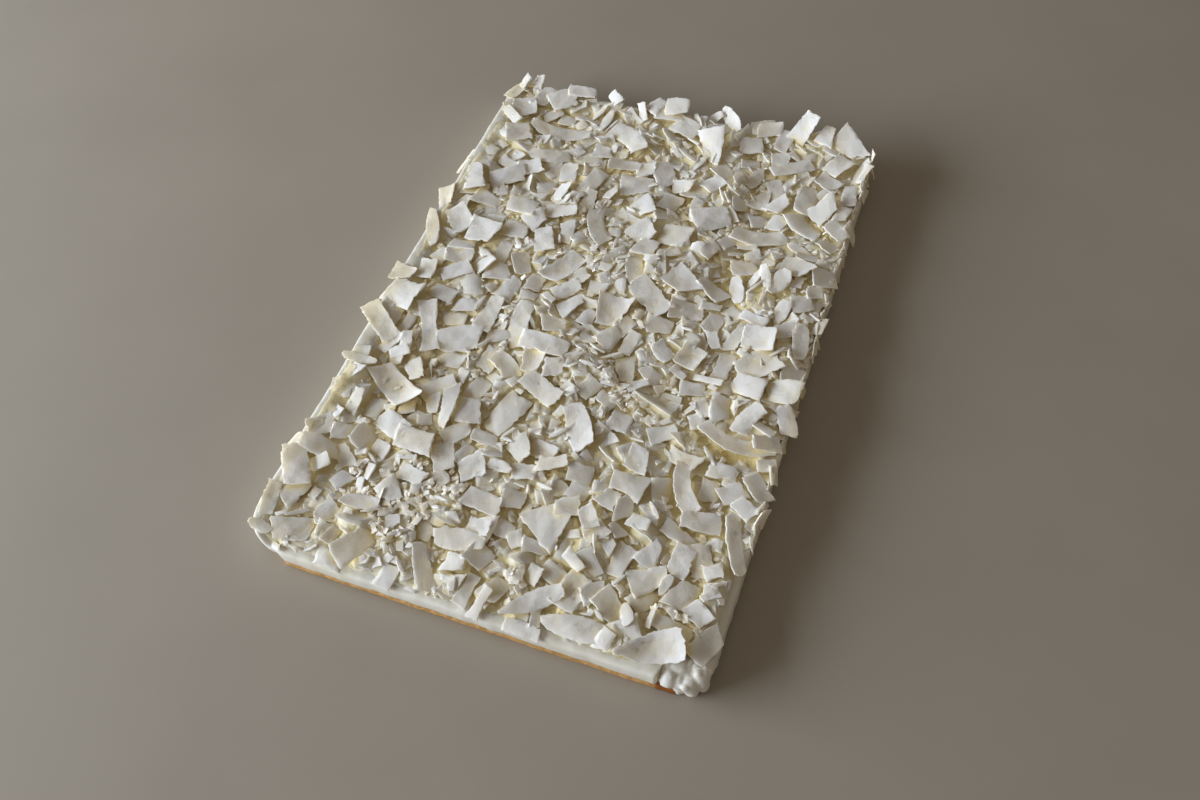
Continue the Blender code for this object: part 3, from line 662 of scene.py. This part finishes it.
# Where the flakes lie tipped towards the window, or away from it: x, y, half widths, slope
TIPPED = [
    (-98, 20, 9, 110, 0.13), (-90, 20, 14, 50, 0.16), (-89, 112, 13, 24, 0.1), (-38, 72, 13, 30, 0.07),
    (12, 134, 14, 14, -0.17), (38, 110, 13, 32, -0.14), (88, 66, 13, 26, -0.14),
    (-12, -14, 14, 14, -0.09), (88, -48, 13, 32, -0.19), (38, -55, 13, 32, -0.18),
    (14, -106, 14, 15, -0.14), (-62, -133, 14, 14, -0.17), (-66, -50, 14, 16, 0.12),
    (40, 44, 10, 12, 0.05), (-90, -62, 12, 16, 0.09), (-38, -60, 12, 14, 0.09), (66, 20, 12, 14, 0.05),
]

# Where the icing has come up over the flakes: x, y, half widths, height
COATED = [
    (-93, -60, 7, 14, 0.9), (-94, -92, 6, 14, 0.9), (-92, -118, 8, 14, 0.8), (-82, -140, 16, 6, 0.8),
    (-62, -141, 9, 5, 0.6), (-95, 36, 5, 22, 0.9), (-96, 70, 5, 16, 0.8), (-96, 105, 5, 20, 0.6),
    (-90, 0, 9, 10, 0.4), (-66, -46, 8, 6, 0.3), (-78, 24, 10, 8, 0.4), (1, -94, 9, 5, 0.4),
    (79, 0, 10, 7, 0.4), (80, -48, 14, 5, 0.4), (96, -110, 5, 22, 0.7), (70, 33, 6, 8, 0.3),
    (20, -146, 40, 3, 0.3), (-30, -144, 30, 4, 0.3), (-84, 66, 8, 8, 0.4), (-86, 128, 8, 8, 0.4),
]

# Patches of fine crumbs: x, y, spread each way, how many
CRUMBED = [
    (-38, -110, 9, 9, 80), (45, -28, 12, 8, 70), (-56, -115, 4, 3, 15), (-28, -101, 7, 3, 25),
    (6, 124, 4, 4, 20), (20, -124, 4, 3, 15), (30, -30, 9, 7, 40), (-8, 40, 6, 5, 20), (86, 70, 5, 4, 15),
    (-45, -115, 6, 9, 35), (78, -120, 5, 4, 20), (-70, -100, 4, 4, 20), (50, 77, 5, 4, 20),
    (-20, 66, 5, 4, 20),
]

# How each form departs from a plain oblong. In turn: square, trapezoid, parallelogram, kite, wedge, pointed,
# torn, leaf, blade, drop, rounded, bow tie, band, band bent the other way, bean, folded and cupped.
FORMS = {
    "sq": {}, "tr": {"taper": 0.28}, "pl": {"skew": (0.5, 0.5)}, "kt": {"taper": 0.2, "skew": (0.45, -0.35)},
    "tw": {"taper": 0.5, "skew": (0.1, -0.1)}, "pt": {"leaf": 0.4, "skew": (0.25, -0.1)},
    "tn": {"jag": 0.9, "leaf": 0.15}, "lf": {"leaf": 0.62, "jag": 0.5}, "db": {"leaf": 0.5, "arc": 0.022},
    "dr": {"leaf": 0.3, "point": 0.9, "kink": 0.06}, "ro": {"round_off": 0.32, "taper": 0.12, "jag": 0.5},
    "bw": {"waist": 0.24}, "ba": {"arc": 0.036}, "bb": {"arc": -0.036}, "bn": {"arc": 0.01, "round_off": 0.3},
    "fd": {"kink": 0.13}, "cu": {"bow": 0.014},
}


def mounds(table, x, y):
    """Each row of a table as a rounded mound over x, y: its last value at its middle, fading to nothing."""
    for middle_x, middle_y, half_x, half_y, value in table:
        yield value * np.exp(-((x - middle_x) / half_x) ** 2 - ((y - middle_y) / half_y) ** 2)


def swell(x, y):
    """How much higher or lower than its average the heap should lie at a place."""
    return sum(mounds(HUMPS, x, y), 0.45 * ripple([(x, y, 0.0)], 30.0, 41)[0])


def uphill(side):
    """Direction in which a flake rises when it faces a side, in degrees from the front to the left."""
    bearing = math.radians(90 - side)
    return np.array((math.cos(bearing), math.sin(bearing)))


def tipped(x, y):
    """Extra slope of the flakes at a place, up away from the window so that they face it."""
    return uphill(WINDOW_SIDE) * sum(mounds(TIPPED, x, y))


def coating(x, y):
    """How far the icing stands above its usual level among the flakes at each place."""
    return np.minimum(sum(mounds(COATED, x, y), 0.36 + 0.2 * ripple(flat_points(x, y), 13.0, 35)), 1.2)


def amber_stain(x, y):
    """How strongly the lemon of the icing has stained each place."""
    stain = np.clip(ripple(flat_points(x, y), 16.0, 61) - 0.25, 0, 1) * 0.8
    for spot in mounds(STAINS, x, y):
        stain = np.maximum(stain, spot)
    return np.clip(stain, 0, 1)


def edge_soak_and_shade(x):
    """How much creamier the coconut is by the long sides: on the left where the icing has soaked in, on the
    right as painted shade on the side away from the window.
    """
    # left term: icing soaked in; right term: painted shade on the shadowed right side
    return 0.4 * smooth(-90.0, -97.0, x) + 0.3 * smooth(96.0, 100.0, x)


def allowed(x, y):
    """How far past the slab's outline a flake may reach at each place; negative where the icing is bare."""
    by_front = smooth(-HALF_Y + 16, -HALF_Y + 8, y)
    front = 2.6 * by_front * (1 - 0.7 * smooth(-60, -88, x)) + 0.9 * np.sin(x * 0.11 + 1.0) * by_front
    right = 4.2 * smooth(86, 92, x) * smooth(-84, -100, y)
    left = (2.2 + 1.2 * np.sin(y * 0.13)) * smooth(-88, -93, x)
    corner = 8.0 * smooth(76.0, 79.0, x) * smooth(-132.0, -136.0, y)
    return 2.2 - np.maximum(np.maximum(front + 2.2, right + 1.0), left) - corner


class Heap:
    """The top of what lies on the slab so far, as a height grid that each new flake settles on.

    Grids beside it: taken is the ground that the present layer covers, laid that of the listed flakes,
    lid the height of their middles, bed the soft filling's level, broad and near the heap's blurred top.
    """

    CELL = 0.6
    REACH = (112.0, 158.0)

    def __init__(self):
        x, y = (np.arange(-reach, reach, self.CELL) for reach in self.REACH)
        self.x, self.y = np.meshgrid(x, y, indexing="ij")
        d = inside_distance(self.x, self.y)
        icing = ICING_TOP + crown(self.x, self.y) - 1.6 * (1 - smooth(0.0, 3.5, d))
        self.top = np.where(d > 0, icing, 2.0)
        self.taken = np.zeros_like(self.top)
        self.laid = np.zeros_like(self.top)
        self.lid = np.full_like(self.top, 99.0)

    def index(self, x, y):
        """Grid cells under points."""
        spots = zip((x, y), self.REACH, self.top.shape)
        return tuple(np.clip(((v + reach) / self.CELL + 0.5).astype(int), 0, n - 1) for v, reach, n in spots)

    def at(self, x, y):
        return self.top[self.index(x, y)]

    def take(self, shape, x, y, turn):
        """Marks the ground under a flake as taken by its layer."""
        self.taken[self.index(*footprint(shape, x, y, turn, 0.5))] = 1.0


class Flakes:
    """Joined thin plates of one kind, with what the material reads at each point."""

    def __init__(self):
        self.verts, self.faces, self.place, self.tone, self.rim, self.count = [], [], [], [], [], 0

    def add(self, verts, faces, place, tone, rim):
        self.faces += [tuple(self.count + i for i in f) for f in faces]
        self.count += len(verts)
        self.verts.append(verts)
        self.place.append(place)
        self.tone.append(np.full(len(verts), tone))
        self.rim.append(rim)

    def finish(self, name, mat, heap):
        verts = np.concatenate(self.verts)
        obj = make_object(name, verts, self.faces, mat, "coconut_flakes", 38)
        x, y, z = verts.T
        # painted shade: how far each point lies below the blurred heap top and down in a crease, which the
        # material paints creamier and yellower
        deep = np.clip((heap.broad[heap.index(x, y)] - z) / 1.6, 0.0, 1.0)
        crease = np.clip((heap.near[heap.index(x, y)] + 0.1 - z) / 0.9, 0.0, 1.0)
        set_attribute(obj, "flake_place", np.concatenate(self.place))
        set_attribute(obj, "flake_tone", np.concatenate(self.tone))
        set_attribute(obj, "flake_rim", np.concatenate(self.rim))
        set_attribute(obj, "flake_depth", np.clip(0.5 * deep + 0.7 * crease + edge_soak_and_shade(x), 0, 1))
        set_attribute(obj, "amber", amber_stain(x, y))


def grid_faces(ns, nt):
    """Faces of a sheet of ns by nt points, and its rim all the way round."""
    faces = [(i * nt + j, (i + 1) * nt + j, (i + 1) * nt + j + 1, i * nt + j + 1)
             for i in range(ns - 1) for j in range(nt - 1)]
    rim = [i * nt for i in range(ns)] + [(ns - 1) * nt + j for j in range(1, nt)]
    rim += [i * nt + nt - 1 for i in range(ns - 2, -1, -1)] + list(range(nt - 2, 0, -1))
    return faces, rim


def plate_faces(ns, nt):
    """Faces of a plate: ns by nt points on top, the same below, and the edge between."""
    n = ns * nt
    sheet, rim = grid_faces(ns, nt)
    faces = []
    for face in sheet:
        faces += [face, tuple(n + i for i in reversed(face))]
    return faces + [(a, n + a, n + b, b) for a, b in zip(rim, rim[1:] + rim[:1])]


def levels(count, size):
    """Grid places from -1 to 1, with narrow strips at both ends that make the rounded rim."""
    outer = 1 - min(0.25, RIM / (size / 2))
    return np.concatenate([[-1.0], np.linspace(-outer, outer, count - 2), [1.0]])


# A plain oblong flake: how its outline and its bend depart from a flat rectangle, and its thickness
PLAIN = {
    "arc": 0.0, "leaf": 0.0, "point": 0.0, "taper": 0.0, "skew": (0.0, 0.0), "waist": 0.0, "round_off": 0.15,
    "curl": 0.0, "bow": 0.0, "twist": 0.0, "kink": 0.0, "thick": 0.7, "jag": 0.3,
}


class Shape:
    """One flake's form: outline in its own plane, how it bends out of it, and its thickness."""

    def __init__(self, rng, length, width, **form):
        vars(self).update(PLAIN, rng=rng, length=length, width=width, **form)
        self.edges = rng.uniform(-self.jag, self.jag, size=(4, 3))
        self.phase = rng.uniform(0, 6.28, size=10)
        self.corner = rng.normal(0, 0.085, size=(2, 4)) * min(length, width)

    def surface(self, s, t):
        """Middle surface: along, across and out of plane, for s and t in -1 to 1."""
        s, t = (s * np.sqrt(1 - self.round_off * t * t / 2), t * np.sqrt(1 - self.round_off * s * s / 2))
        edges, phase = self.edges, self.phase
        end = np.where(s > 0, np.polyval(edges[0], t), np.polyval(edges[1], t)) * np.abs(s) ** 3
        side = np.where(t > 0, np.polyval(edges[2], s), np.polyval(edges[3], s)) * np.abs(t) ** 3
        half = self.width / 2 * (1 - self.taper * s) * (1 - self.waist * (1 - s * s))
        half *= (1 - self.leaf) + self.leaf * np.clip(1 - (s * 0.985) ** 2, 0, 1) ** 0.72
        half *= (1 - self.point) + self.point * np.clip((1 + s) / 2 + 0.01, 0, 1) ** 0.7
        skew = np.where(s > 0, self.skew[0], self.skew[1]) * np.abs(s)
        a = s * self.length / 2 + skew * t * self.width / 2 + end
        b = t * half + side
        corner = np.stack([(1 + s) * (1 + t), (1 + s) * (1 - t), (1 - s) * (1 + t), (1 - s) * (1 - t)]) / 4
        a, b = a + self.corner[0] @ corner, b + self.corner[1] @ corner
        z = self.curl * b * b + self.bow * a * a + self.twist * a * b
        z = z + self.kink * np.sqrt(0.3 + (a - 0.1 * self.length + 0.3 * b) ** 2)
        z = z + 0.16 * np.sin(0.5 * a + phase[1]) * np.cos(0.55 * b + phase[2])
        z = z + 0.07 * np.sin(1.3 * a + phase[3]) * np.cos(1.1 * b + phase[4])
        if self.arc:
            radius = 1.0 / self.arc
            angle = a / radius
            a, b = (radius - b) * np.sin(angle), radius - (radius - b) * np.cos(angle)
            b = b - self.arc * self.length ** 2 / 24
        return np.stack([a, b, z], -1)

    def torn(self, places, size):
        """How far a torn edge stands out or in at its places: fine fraying and now and then a bite."""
        rng = self.rng
        edge = rng.normal(0, FRAY * min(1.0, size / 7), len(places))
        for _ in range(rng.integers(0, 3)):
            depth = size * rng.uniform(-0.03, 0.09)
            middle, width = rng.uniform(-1.1, 1.1), rng.uniform(0.12, 0.3)
            edge -= depth * np.exp(-((places - middle) / width) ** 2)
        return edge

    def plate(self, ns, nt):
        """Points of the upper and lower side, and how near each one is to the rim."""
        along, across = levels(ns, self.length), levels(nt, self.width)
        s, t = np.meshgrid(along, across, indexing="ij")
        size = min(self.length, self.width)
        ends = [self.torn(across, size)[None, :] for _ in range(2)]
        sides = [self.torn(along, size)[:, None] for _ in range(2)]
        da = np.where(s > 0, ends[0], -ends[1]) * np.abs(s) ** 4
        db = np.where(t > 0, sides[0], -sides[1]) * np.abs(t) ** 4
        s, t, da, db = s.ravel(), t.ravel(), da.ravel(), db.ravel()
        top = self.surface(s, t)
        top[:, 0] += da
        top[:, 1] += db
        under = top.copy()
        rim = np.maximum(np.abs(s), np.abs(t)) > 0.999
        half = self.thick / 2 * np.where(rim, 0.6, 1.0)
        top[:, 2] += half
        under[:, 2] -= half
        return np.concatenate([top, under]), np.tile(rim, 2).astype(float)

    def samples(self, step=0.5):
        ns, nt = max(3, int(self.length / step)), max(3, int(self.width / step))
        s, t = np.meshgrid(np.linspace(-1, 1, ns), np.linspace(-1, 1, nt), indexing="ij")
        return self.surface(s.ravel(), t.ravel())


def turned(local, x, y, turn):
    """Ground under a flake's own points when it lies flat at x, y."""
    c, s = math.cos(turn), math.sin(turn)
    return x + local[:, 0] * c - local[:, 1] * s, y + local[:, 0] * s + local[:, 1] * c


def footprint(shape, x, y, turn, step):
    """Points all over the ground a flake would cover."""
    return turned(shape.samples(step), x, y, turn)


def settle(heap, shape, x, y, turn, lean, sink, steepest, follow=0.75, level=0.8):
    """Pose of a flake dropped at x, y: it lies on what is under it, tilted a little more by lean."""
    local = shape.samples(1.0)
    px, py = turned(local, x, y, turn)
    resting = inside_distance(px, py) > 1.2
    if resting.sum() < 6:
        resting[:] = True
    ground = np.maximum(heap.at(px, py), ICING_TOP - 2.0)[resting]
    dx, dy = (px - x)[resting], (py - y)[resting]
    fit, *_ = np.linalg.lstsq(np.column_stack([dx, dy, np.ones_like(dx)]), ground, rcond=None)
    slope = np.array((fit[0], fit[1])) * follow + lean
    steep = np.hypot(*slope)
    if steep > steepest:
        slope *= steepest / steep
    normal = Vector((-slope[0], -slope[1], 1.0)).normalized()
    tilt = Vector((0, 0, 1)).rotation_difference(normal).to_matrix()
    pose = np.array(tilt @ Matrix.Rotation(turn, 3, "Z"))
    placed = local @ pose.T
    need = heap.at(x + placed[:, 0], y + placed[:, 1]) - (placed[:, 2] - shape.thick / 2)
    z = np.quantile(need[resting], level) - sink
    return pose, np.array((x, y, z))


def drop(heap, group, shape, pose, rng, tone, grid):
    """Adds a posed flake to its group and to the height grid."""
    turn, centre = pose
    plate, rim = shape.plate(*grid)
    verts = plate @ turn.T + centre
    if grid[0] > 5:
        flat = verts * (1, 1, 0)
        verts[:, 2] += 0.1 * ripple(flat, 6.5, 51) + 0.06 * ripple(flat, 2.6, 52)
    if verts[:, 2].max() > TALLEST:
        verts[:, 2] -= verts[:, 2].max() - TALLEST
    group.add(verts, plate_faces(*grid), plate + rng.uniform(0, 400, 3), tone, rim)
    x, y, z = (shape.samples() @ turn.T + centre).T
    np.maximum.at(heap.top, heap.index(x, y), z + shape.thick / 2)


def tone_of(rng):
    return float(np.clip(rng.beta(1.2, 4.0), 0, 1))


def scatter(heap, group, rng, shape, tries, crowding=0.0, area=None, margin=0.0, clear=False, grid=(6, 6),
            lean=0.07, sink=0.35, steepest=0.4):
    """Drops one flake where it fits: of a few places, the lowest and least taken by its own layer.

    An area is a middle and a spread each way, margin keeps it that far inside the edge, and clear keeps it
    off the listed flakes.
    """
    best = None
    for _ in range(80):
        if area:
            x, y = rng.normal(area[0], area[2]), rng.normal(area[1], area[3])
        else:
            x, y = rng.uniform(-HALF_X, HALF_X), rng.uniform(-HALF_Y, HALF_Y)
        turn = rng.uniform(0, 2 * math.pi)
        px, py = footprint(shape, x, y, turn, 2.0)
        if np.min(inside_distance(px, py) + allowed(px, py)) < margin:
            continue
        if clear and heap.laid[heap.index(px, py)].mean() > 0.3:
            continue
        taken = heap.taken[heap.index(px, py)].mean()
        score = heap.at(px, py).mean() - swell(x, y) + 12.0 * crowding * taken
        tries -= 1
        if best is None or score < best[0]:
            best = (score, x, y, turn, taken)
        if tries <= 0:
            break
    if best and not (crowding and best[4] > 0.6):
        x, y, turn = best[1:4]
        tone = tone_of(rng)
        slope = tipped(x, y) + rng.normal(0, lean, 2)
        drop(heap, group, shape, settle(heap, shape, x, y, turn, slope, sink, steepest), rng, tone, grid)
        if crowding:
            heap.take(shape, x, y, turn)


def lay(heap, group, shape, row, rng):
    """Lays one flake of the listed tables on what is there, and keeps the bed under it."""
    lean = row.lean * (1.4 if 0 < row.lean < 0.3 else 1.0)
    slope = uphill(row.bearing) * lean + tipped(row.x, row.y) * (lean < 0.3) + rng.normal(0, 0.025, 2)
    sink = 0.35 + 1.6 * max(0.0, lean - 0.3)
    pose = settle(heap, shape, row.x, row.y, math.radians(row.turn), slope, sink, max(0.6, lean),
                  0.65 if lean < 0.3 else 0.0, 0.93)
    grid = (int(row.length / 1.05) + 2, int(row.width / 1.05) + 2)
    drop(heap, group, shape, pose, rng, tone_of(rng), grid)
    x, y, z = (shape.samples() @ pose[0].T + pose[1]).T
    np.minimum.at(heap.lid, heap.index(x, y), z)


def stuck_on(heap, group, shape, y, rng):
    """Presses one flake on the right side of the slab, where the cut has left some hanging."""
    facing = Vector((1.0, rng.normal(0, 0.2), rng.uniform(0.0, 0.5))).normalized()
    tilt = Vector((0, 0, 1)).rotation_difference(facing).to_matrix()
    turn = tilt @ Matrix.Rotation(rng.uniform(0, 6.28), 3, "Z")
    centre = np.array((HALF_X - 0.9 + rng.normal(0, 0.15), y, rng.uniform(9.0, 13.5)))
    drop(heap, group, shape, (np.array(turn), centre), rng, tone_of(rng), (6, 6))


def quad_shape(rng, sizes, thick=(0.5, 0.75)):
    """A broken square, oblong, kite or trapezoid; sizes are the usual one, its spread, least and most."""
    usual, spread, least, most = sizes
    size = float(np.clip(usual * math.exp(rng.normal(0, spread)), least, most))
    length = size * rng.uniform(1.0, 1.45)
    width = min(size * rng.uniform(0.7, 1.0), 13.0)
    kind = rng.integers(0, 5)
    skew = [(0.05, 0.05), (0.4, 0.4), (0.35, -0.35), (0.25, -0.1), (0.0, 0.0)][kind]
    skew = tuple(np.array(skew) * rng.choice([-1, 1]) + rng.uniform(-0.14, 0.14, 2))
    return Shape(rng, length, width, taper=rng.choice([0.03, 0.1, 0.24]) * rng.choice([-1, 1]), skew=skew,
                 curl=rng.normal(0.006, 0.02), bow=rng.normal(0.002, 0.012), twist=rng.normal(0, 0.008),
                 arc=rng.choice([0.0, 0.03, 0.05]) * rng.choice([-1, 1]), thick=rng.uniform(*thick),
                 jag=0.28 * min(1.0, size / 6), leaf=rng.choice([0.0, 0.0, 0.0, 0.3]),
                 waist=rng.choice([0.0, 0.0, 0.12]), round_off=rng.choice([0.02, 0.06, 0.15]))


def band_shape(rng, length, width):
    """A curved strip of the nut, cut across at both ends."""
    return Shape(rng, length, width, arc=rng.uniform(0.02, 0.055) * rng.choice([-1, 1]),
                 taper=rng.uniform(-0.12, 0.12), skew=tuple(rng.uniform(-0.4, 0.4, 2)),
                 curl=rng.uniform(-0.01, 0.02), bow=rng.normal(0, 0.002), twist=rng.normal(0, 0.003),
                 thick=rng.uniform(0.9, 1.3), jag=0.3, round_off=rng.uniform(0.05, 0.3))


def leaf_shape(rng, length, width):
    """A pointed slice from near the edge of the nut."""
    return Shape(rng, length, width, arc=rng.uniform(-0.02, 0.02), leaf=0.85, curl=rng.uniform(0.0, 0.02),
                 bow=rng.normal(0, 0.003), twist=rng.normal(0, 0.004), thick=rng.uniform(0.8, 1.1), jag=0.2)


def laid_shape(rng, row):
    """Shape of one flake of the listed tables."""
    form = dict(skew=tuple(rng.uniform(-0.12, 0.12, 2)), taper=rng.uniform(-0.07, 0.07),
                curl=rng.normal(0.004, 0.015), bow=rng.normal(0.001, 0.007), twist=rng.normal(0, 0.005),
                thick=rng.uniform(0.55, 0.85), jag=0.32, round_off=rng.uniform(0.04, 0.16))
    form.update(FORMS[row.form])
    return Shape(rng, row.length, row.width, **form)


def blur(grid, cells):
    """Soft average of a grid over a few cells each way."""
    reach = int(3 * cells)
    kernel = np.exp(-0.5 * (np.arange(-reach, reach + 1) / cells) ** 2)
    kernel /= kernel.sum()
    for axis in (0, 1):
        padded = np.pad(grid, [(reach, reach) if a == axis else (0, 0) for a in (0, 1)], mode="edge")
        grid = np.apply_along_axis(lambda row: np.convolve(row, kernel, mode="valid"), axis, padded)
    return grid


def build_heap(mat):
    """All the flakes, from the lowest layer up."""
    rng = np.random.default_rng(21)
    heap = Heap()
    under, squares, middling, long, small, top, crumbs = (Flakes() for _ in range(7))

    def strew(group, count, sizes, tries, thick=(0.5, 0.75), **how):
        for _ in range(count):
            scatter(heap, group, rng, quad_shape(rng, sizes, thick), tries, **how)

    def squares_layer(size, **how):
        heap.taken[:] = 0.0
        strew(under, 400, (size, 0.25, 5.5, 15), 8, crowding=0.5, **how)

    def chips_layer(count, size, tries=3, **how):
        sizes = (size, 0.35, 1.6, 5.5)
        strew(small, count, sizes, tries, (0.35, 0.6), grid=(4, 4), sink=0.18, lean=0.09, **how)

    # what shows only through the gaps
    squares_layer(8.6, sink=0.5, lean=0.05)
    chips_layer(500, 3.4)
    squares_layer(8.4, sink=0.4, lean=0.07)
    chips_layer(500, 3.2)
    for _ in range(30):
        shape = band_shape(rng, rng.uniform(13, 22), rng.uniform(5.5, 8.5))
        scatter(heap, long, rng, shape, 4, grid=(14, 8), sink=0.4, lean=0.05)

    # squares between the listed flakes, some of them jumbled, and the sides of the slab
    chosen = [laid_shape(rng, row) for row in LAID + STANDING]
    heap.taken[:] = 0.0
    for row, shape in zip(LAID, chosen):
        heap.take(shape, row.x, row.y, math.radians(row.turn))
    heap.laid = heap.taken.copy()
    level, jumbled = {"lean": 0.07, "sink": 0.35}, {"lean": 0.2, "sink": 0.6, "steepest": 0.75, "clear": True}
    for _ in range(700):
        shape = quad_shape(rng, (8.4, 0.28, 4.5, 14))
        how = jumbled if rng.random() < 0.3 else level
        scatter(heap, squares, rng, shape, 12, 0.25, grid=(8, 8), **how)
    right_side = [(95.5, y, 2.0, 3.0) for y in range(-78, 145, 4)]
    back_side = [(x, 143.0, 3.0, 2.5) for x in range(-92, 93, 4)]
    for area in right_side + back_side:
        strew(middling, 1, (6.5, 0.28, 4.0, 11), 6, area=area, sink=0.4, lean=0.14, steepest=0.6)
    for y in np.arange(-82.0, 140.0, 4.6):
        shape = quad_shape(rng, (6.0, 0.25, 3.5, 9))
        stuck_on(heap, middling, shape, y + rng.normal(0, 1.5), rng)
    strew(middling, 420, (5.6, 0.25, 3.4, 9), 7, margin=2.0, clear=True, sink=0.5, lean=0.17, steepest=0.7)
    chips_layer(300, 3.2)
    heap.bed = blur(heap.top, 1.5 / heap.CELL) - 0.45

    # the listed flakes, and the bits that lie loose among them
    for row, shape in zip(LAID + STANDING, chosen):
        lay(heap, top, shape, row, rng)
    chips_layer(120, 2.8, tries=9, margin=4.0, clear=True)
    for _ in range(80):
        shape = leaf_shape(rng, rng.uniform(4.5, 10.5), rng.uniform(1.0, 2.0))
        scatter(heap, middling, rng, shape, 3, margin=1.0, clear=True, grid=(8, 4), sink=0.1, lean=0.16,
                steepest=0.8)
    for *area, count in CRUMBED:
        strew(crumbs, round(count * 1.1), (1.9, 0.4, 0.9, 4.0), 5, (0.35, 0.6), area=area, clear=True,
              grid=(3, 3), sink=0.15, lean=0.14, steepest=0.9)
    strew(crumbs, 350, (1.5, 0.4, 0.7, 3.0), 9, (0.3, 0.5), margin=5.0, clear=True, grid=(3, 3), sink=0.1,
          lean=0.25, steepest=0.8)

    for axis in (0, 1):
        beside = np.minimum(np.roll(heap.lid, 1, axis), np.roll(heap.lid, -1, axis))
        heap.lid = np.minimum(heap.lid, beside)
    heap.broad = blur(heap.top, 4.0 / heap.CELL)
    heap.near = blur(heap.top, 1.6 / heap.CELL)
    under.finish("flakes_under", mat, heap)
    squares.finish("flakes_squares", mat, heap)
    middling.finish("flakes_middling", mat, heap)
    long.finish("flakes_long", mat, heap)
    small.finish("flakes_small", mat, heap)
    top.finish("flakes_top", mat, heap)
    crumbs.finish("flakes_crumbs", mat, heap)
    return heap


def build_bed(heap, mat):
    """Soft icing and crumb that fills the gaps between the flakes to just under the heap's general level."""
    nx, ny, margin = 225, 335, 1.8
    across, along = (np.linspace(-1, 1, n + 1) * (half - margin) for n, half in ((nx, HALF_X), (ny, HALF_Y)))
    x, y = (v.ravel() for v in np.meshgrid(across, along, indexing="ij"))
    for _ in range(12):
        out = inside_distance(x, y) < 1.7
        x, y = np.where(out, x * 0.994, x), np.where(out, y * 0.996, y)
    d = inside_distance(x, y)
    points = flat_points(x, y)
    rough = 0.2 * ripple(points, 2.4, 32) + 0.14 * ripple(points, 1.1, 33)
    cells = heap.index(x, y)
    icing, raised = coating(x, y), ICING_TOP + crown(x, y)
    fade = smooth(1.8, 6.0 - 2.6 * smooth(-84, -92, x), d)
    rise = np.clip(heap.bed[cells] + icing - raised, -0.6, None) * fade
    z = raised - 0.9 * (1 - smooth(1.8, 4.5, d)) - 0.12 + rise + rough * smooth(2.0, 6.0, d)
    z = np.minimum(z, heap.lid[cells] + np.maximum(icing - 0.75, 0.0))
    # painted shade: how far each point lies below the blurred heap top, so that hollows are painted yellower
    # and darker
    hollow = np.clip((heap.broad[cells] + 0.3 - z) / 1.6, 0, 1)
    z = z - 5.5 * smooth(76.5, 79.5, x) * smooth(-134.5, -138.0, y)
    top = np.column_stack([x, y, z])
    faces, rim = grid_faces(nx + 1, ny + 1)
    under = top[rim].copy()
    under[:, 2] = ICING_TOP - 2.0
    n, k = len(top), len(rim)
    faces += [(rim[a], n + a, n + (a + 1) % k, rim[(a + 1) % k]) for a in range(k)]
    faces.append(tuple(n + a for a in reversed(range(k))))
    obj = make_object("heap_bed", np.concatenate([top, under]), faces, mat, "coconut_flakes")
    set_attribute(obj, "flake_depth", np.append(np.clip(hollow + edge_soak_and_shade(x), 0, 1), np.full(k, 0.5)))
    set_attribute(obj, "amber", np.append(amber_stain(x, y), np.zeros(k)))


# ---------------------------------------------------------------- stage


def build_camera():
    """The photo's own view: degrees round to the right from the front, up, and tilted; millimetres."""
    azimuth, elevation, roll = (math.radians(a) for a in (25.34, 55.38, -6.28))
    target, distance = Vector((14.7, -29.8, 0.0)) * MM + CENTRE, 464.3 * MM
    level = math.cos(elevation)
    back = Vector((math.sin(azimuth) * level, -math.cos(azimuth) * level, math.sin(elevation)))
    right = (-back).cross(Vector((0, 0, 1))).normalized()
    up = right.cross(-back)
    axes = (right * math.cos(roll) + up * math.sin(roll), up * math.cos(roll) - right * math.sin(roll), back)
    data = bpy.data.cameras.new("camera")
    data.sensor_width, data.lens = 36.0, 30.98
    data.clip_start, data.clip_end = 0.01, 20.0
    camera = linked("camera", data)
    camera.matrix_world = Matrix.Translation(target + back * distance) @ Matrix(axes).transposed().to_4x4()
    bpy.context.scene.camera = camera


def build_floor():
    r = BENCH_REACH
    mesh = bpy.data.meshes.new("floor")
    mesh.from_pydata([(-r, -r, 0), (r, -r, 0), (r, r, 0), (-r, r, 0)], [], [(0, 1, 2, 3)])
    mesh.materials.append(floor_material())
    floor = linked("floor", mesh)


def build_light():
    """A low window on the left, and the warm light of the room."""
    data = bpy.data.lights.new("window", "AREA")
    data.shape, data.size, data.size_y = "RECTANGLE", *WINDOW_SIZE
    data.energy, data.color = WINDOW_POWER, WINDOW_COLOUR
    lamp = linked("window", data)
    x, y = -uphill(WINDOW_SIDE) * math.cos(math.radians(WINDOW_RISE))
    lamp.location = Vector((x, y, math.sin(math.radians(WINDOW_RISE)))) * WINDOW_DISTANCE
    lamp.rotation_mode = "QUATERNION"
    lamp.rotation_quaternion = (-lamp.location).to_track_quat("-Z", "Y")
    world = bpy.data.worlds.new("studio")
    world.use_nodes = True
    background = world.node_tree.nodes["Background"]
    background.inputs["Color"].default_value = ROOM_COLOUR
    background.inputs["Strength"].default_value = ROOM_STRENGTH
    bpy.context.scene.world = world
    bpy.context.scene.view_settings.view_transform = "Standard"


def main():
    build_base(biscuit_material())
    build_icing(icing_material("icing", (0.90, 0.89, 0.84), (0.88, 0.85, 0.73), 1.0))
    build_lumps(icing_material("icing_lump", (0.90, 0.895, 0.86), (0.89, 0.87, 0.79), 1.4))
    heap = build_heap(coconut_material())
    build_bed(heap, bed_material())
    build_camera()
    build_floor()
    build_light()


main()
